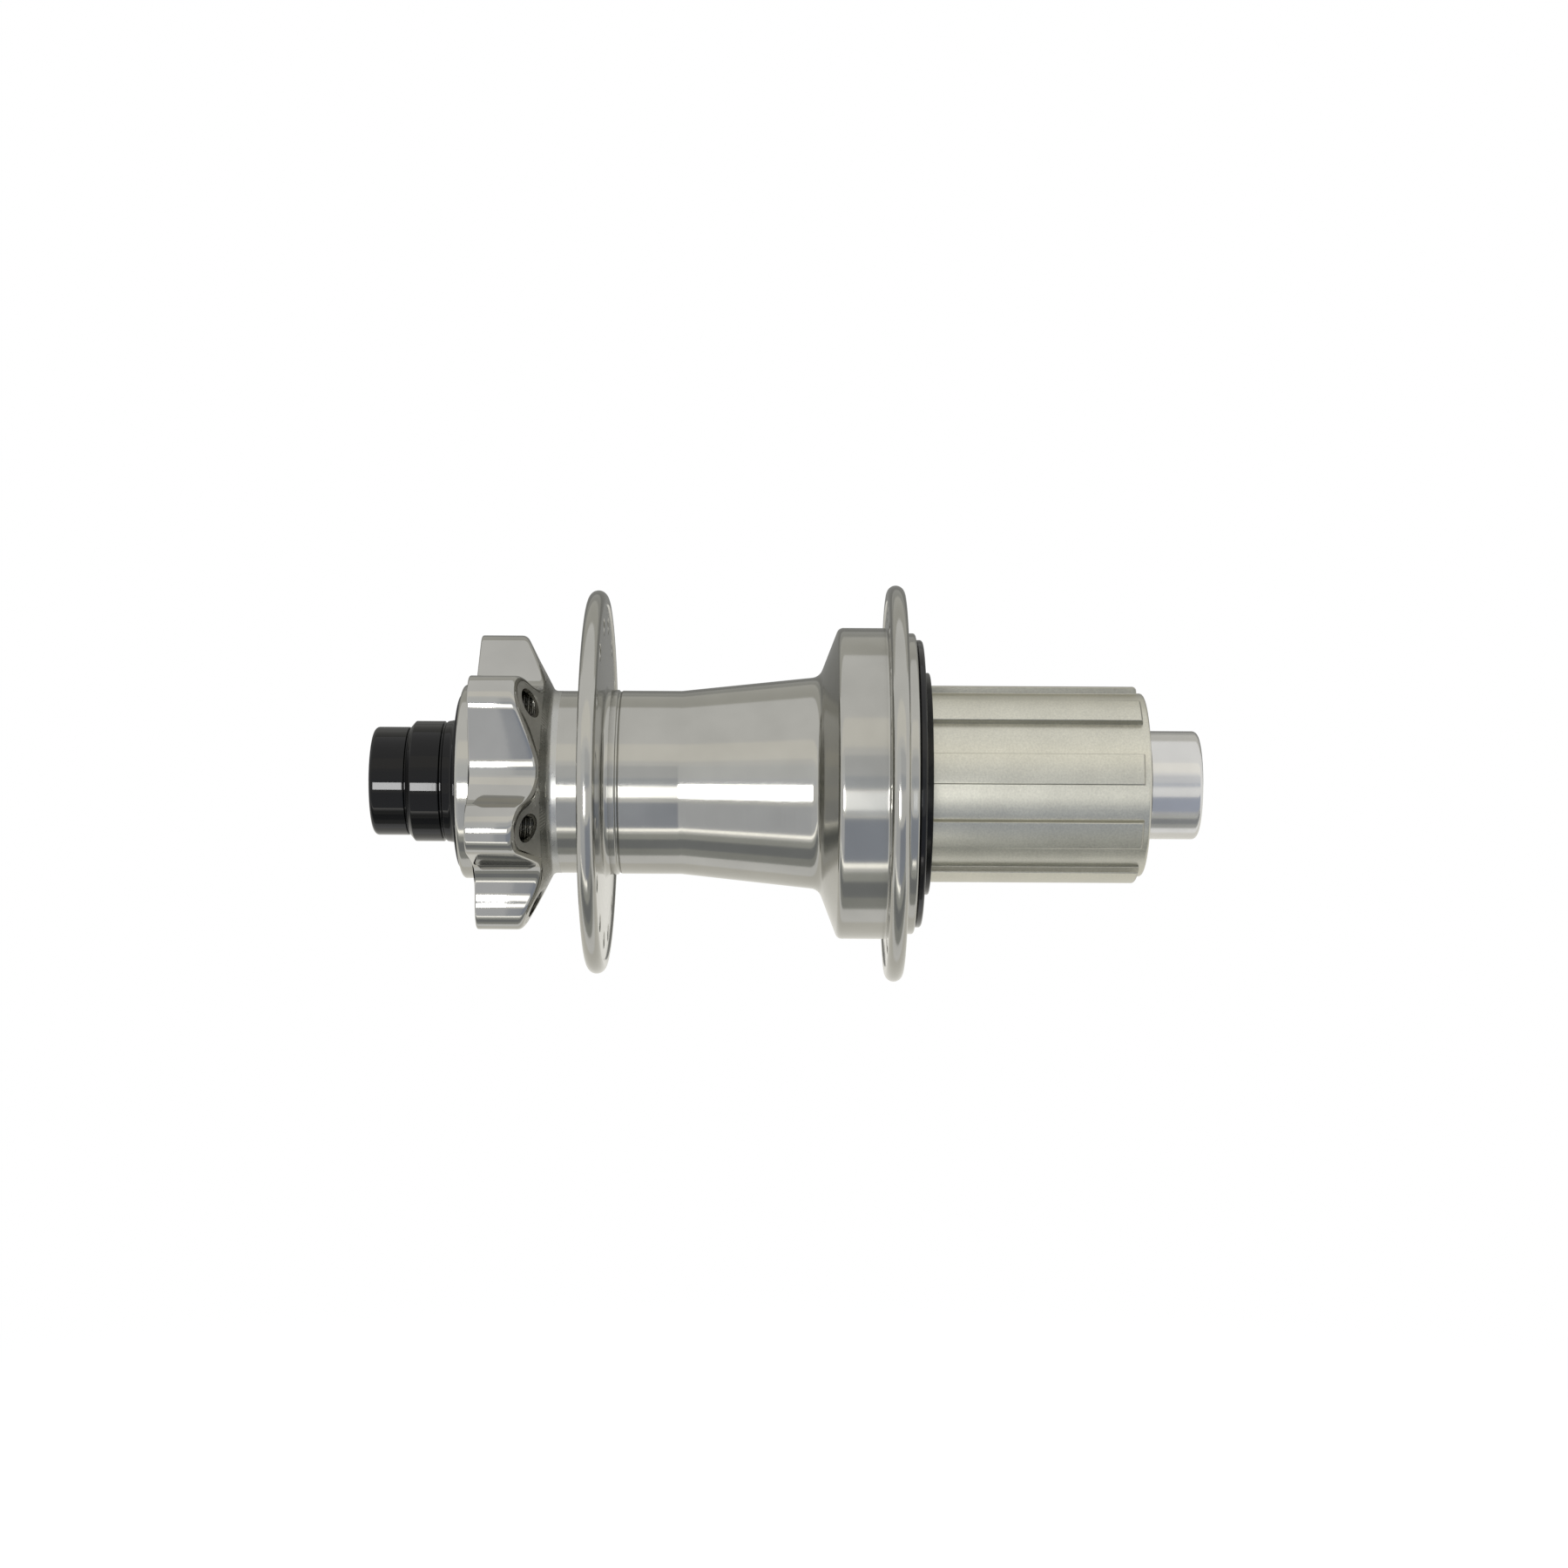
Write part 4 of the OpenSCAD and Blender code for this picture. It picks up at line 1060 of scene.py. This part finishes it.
@dataclass
class Studio:
    """A white room with soft light, long cards that shape the reflections, a pale floor and the camera."""

    cards: tuple[Card, ...] = (
        Card("card_behind", 150, 180, "FFFFFA", 0.28),
        Card("card_top_behind", 136, 150, "FFFFFA", 0.46),
        Card("card_top", 107, 136, "FFFEF8", 0.67),
        Card("card_up_front", 26, 48, "FFFDF8", 1.15),
        Card("card_front", 5, 20, "F6F8FC", 0.88, left=0.13),
        Card("card_front_left", 5, 20, "F8FAFC", 1.0, right=0.13),
        Card("card_lens", -4, 5, "EEF3FC", 0.78, left=0.13),
        Card("card_lens_left", -4, 5, "F4F6FC", 1.0, right=0.13),
        Card("lamp_right", -23, -6.5, "EEF4FF", 1.0, right=-0.12, left=-0.03),
        Card("lamp_middle", -19, -5.5, "FFFFFF", 2.8, right=-0.03, left=0.171),
        Card("lamp_left", -18.5, -3.5, "FFFFFF", 22, right=0.171, left=0.3),
        Card("card_low_right", -59, -25, "DEE6F8", 0.62, left=0.07),
        Card("card_low_middle", -59, -25, "E6EAF4", 0.78, right=0.07, left=0.14),
        Card("card_low_left", -59, -25, "ECEEF4", 0.98, right=0.14),
        Card("lamp_low_line", -63.5, -59.5, "FFFDF8", 2.5, right=-0.09),
        Card("card_low_line_right", -67, -59, "F0F2F4", 0.62, left=-0.09),
        Card("card_low_edge", -75.5, -67, "F6F8F4", 0.62),
        Card("card_below", -91, -75.5, "F0F4F8", 0.36),
        Card("card_below_far", -104, -91, "F6F8F4", 0.49),
        Card("card_below_behind", -180, -122, "FFFDF6", 0.86),
    )
    card_distance: float = 0.9
    floor_z: float = -0.16
    floor_sides: int = 64
    camera_distance: float = 0.503
    camera_roll: float = 0.32

    def card(self, card: Card) -> None:
        """Makes one card: an arc round the axle line between two elevations from the camera's side.

        Args:
            card: Its size, colour and brightness.
        """
        turn = np.radians(np.linspace(card.low, card.high, 9))[:, None]
        along = np.linspace(card.right, card.left, 3)[None, :]
        points = joined(-np.cos(turn), along / self.card_distance, np.sin(turn)).reshape(-1, 3)
        mesh = bpy.data.meshes.new(card.name)
        mesh.from_pydata(points * self.card_distance, [], quads_of(np.arange(27).reshape(9, 3)))
        material, tree = shader_of(card.name)
        glow = add(tree, "Emission", {0: colour(card.hex), 1: card.level})
        add(tree, "OutputMaterial", {0: glow.outputs[0]})
        mesh.materials.append(material)
        thing = placed(card.name, mesh)
        thing.visible_camera = thing.visible_diffuse = thing.visible_shadow = False
        thing.visible_transmission = False

    def world(self) -> None:
        """White for the camera and for reflections, and a softer even light for everything else."""
        world = bpy.data.worlds.new("white_room")
        bpy.context.scene.world = world
        world.use_nodes = True
        tree = world.node_tree
        tree.nodes.clear()
        path = add(tree, "LightPath")
        seen = path.outputs["Is Camera Ray"]
        for ray in ("Is Glossy Ray", "Is Transmission Ray"):
            seen = add(tree, "Math", {0: seen, 1: path.outputs[ray]}, operation="MAXIMUM").outputs[0]
        soft = add(tree, "Background", {0: colour("F4F6FA"), 1: 0.75})
        white = add(tree, "Background", {0: (1, 1, 1, 1), 1: 1.0})
        both = add(tree, "MixShader", {0: seen, 1: soft.outputs[0], 2: white.outputs[0]})
        add(tree, "OutputWorld", {0: both.outputs[0]})

    def paper(self) -> Material:
        """White paper that turns into plain white light further out and can't be seen from below.

        Returns:
            The material.
        """
        material, tree = shader_of("white_paper_sweep")
        place = add(tree, "TexCoord").outputs["Object"]
        far = add(tree, "VectorMath", {0: place}, operation="LENGTH")
        share = add(tree, "MapRange", {"Value": far.outputs["Value"], 1: 0.2, 2: 0.42},
                    interpolation_type="SMOOTHSTEP")
        fibre = add(tree, "TexNoise", {"Vector": place, "Scale": per_mm(2.0)})
        tone = add(tree, "Mix", {0: fibre.outputs["Fac"], 6: colour("F6F6F4"), 7: colour("FAFAF8")},
                   data_type="RGBA")
        paper = add(tree, "BsdfDiffuse", {0: tone.outputs[2]})
        white = add(tree, "Emission", {0: (1, 1, 1, 1), 1: 1.0})
        both = add(tree, "MixShader", {0: share.outputs[0], 1: paper.outputs[0], 2: white.outputs[0]})
        below = add(tree, "NewGeometry")
        clear = add(tree, "BsdfTransparent")
        shown = add(tree, "MixShader", {
            0: below.outputs["Backfacing"], 1: both.outputs[0], 2: clear.outputs[0]})
        add(tree, "OutputMaterial", {0: shown.outputs[0]})
        return material

    def floor(self) -> None:
        """A pale round floor that takes the hub's shadow near it."""
        rings = np.array([0.0005, 0.2, 0.5, 1.0, 4.0])[:, None]
        turn = np.radians(even_angles(self.floor_sides))[None, :]
        points = joined(rings * np.cos(turn), rings * np.sin(turn), self.floor_z)
        index = np.arange(len(rings) * self.floor_sides).reshape(len(rings), self.floor_sides)
        faces = quads_of(np.hstack([index, index[:, :1]])) + [list(range(self.floor_sides))]
        mesh = bpy.data.meshes.new("floor")
        mesh.from_pydata(points.reshape(-1, 3), [], faces)
        mesh.materials.append(self.paper())
        thing = placed("floor", mesh)
        thing.visible_glossy = False

    def lamps(self) -> None:
        """Two soft lamps over the hub, which give the dull pieces their shape and the floor its shadow."""
        for name, spot, power, size in (("lamp_top", (-0.25, 0.2, 0.7), 5.0, 0.7),
                                        ("lamp_side", (-0.5, -0.5, 0.35), 2.5, 0.5)):
            light = bpy.data.lights.new(name, "AREA")
            light.energy, light.size = power, size
            thing = placed(name, light)
            back = unit(np.array(spot))
            right = unit(np.cross((0, 0, 1), back))
            stand(thing, right, np.cross(back, right), back, spot)
            thing.visible_glossy = False

    def camera(self) -> None:
        """The photograph's camera: level with the axle line, and just over half a metre from it."""
        data = bpy.data.cameras.new("camera")
        data.lens, data.sensor_width = 64.0, 36.0
        data.shift_x, data.shift_y = -0.0039, -0.0006
        data.clip_start, data.clip_end = 0.01, 50
        thing = placed("camera", data)
        cos, sin = math.cos(math.radians(self.camera_roll)), math.sin(math.radians(self.camera_roll))
        stand(thing, (0, -cos, sin), (0, sin, cos), (-1, 0, 0), (-self.camera_distance, -0.00075, 0))
        bpy.context.scene.camera = thing

    def build(self) -> None:
        """Sets up the room."""
        bpy.context.scene.view_settings.view_transform = "Standard"
        self.camera()
        self.world()
        self.floor()
        self.lamps()
        for card in self.cards:
            self.card(card)
        LOG.info("studio: %d cards", len(self.cards))


def main() -> None:
    """Builds the hub's pieces in order, then the studio."""
    logging.basicConfig(level=logging.INFO, format="%(name)s %(message)s")
    HubShell().build()
    RotorMount().build()
    freehub = Freehub()
    freehub.sleeve()
    freehub.carrier()
    EndCaps().build()
    DriveSeal().build()
    InnerWorks().dress()
    Studio().build()


if __name__ == "__main__":
    main()
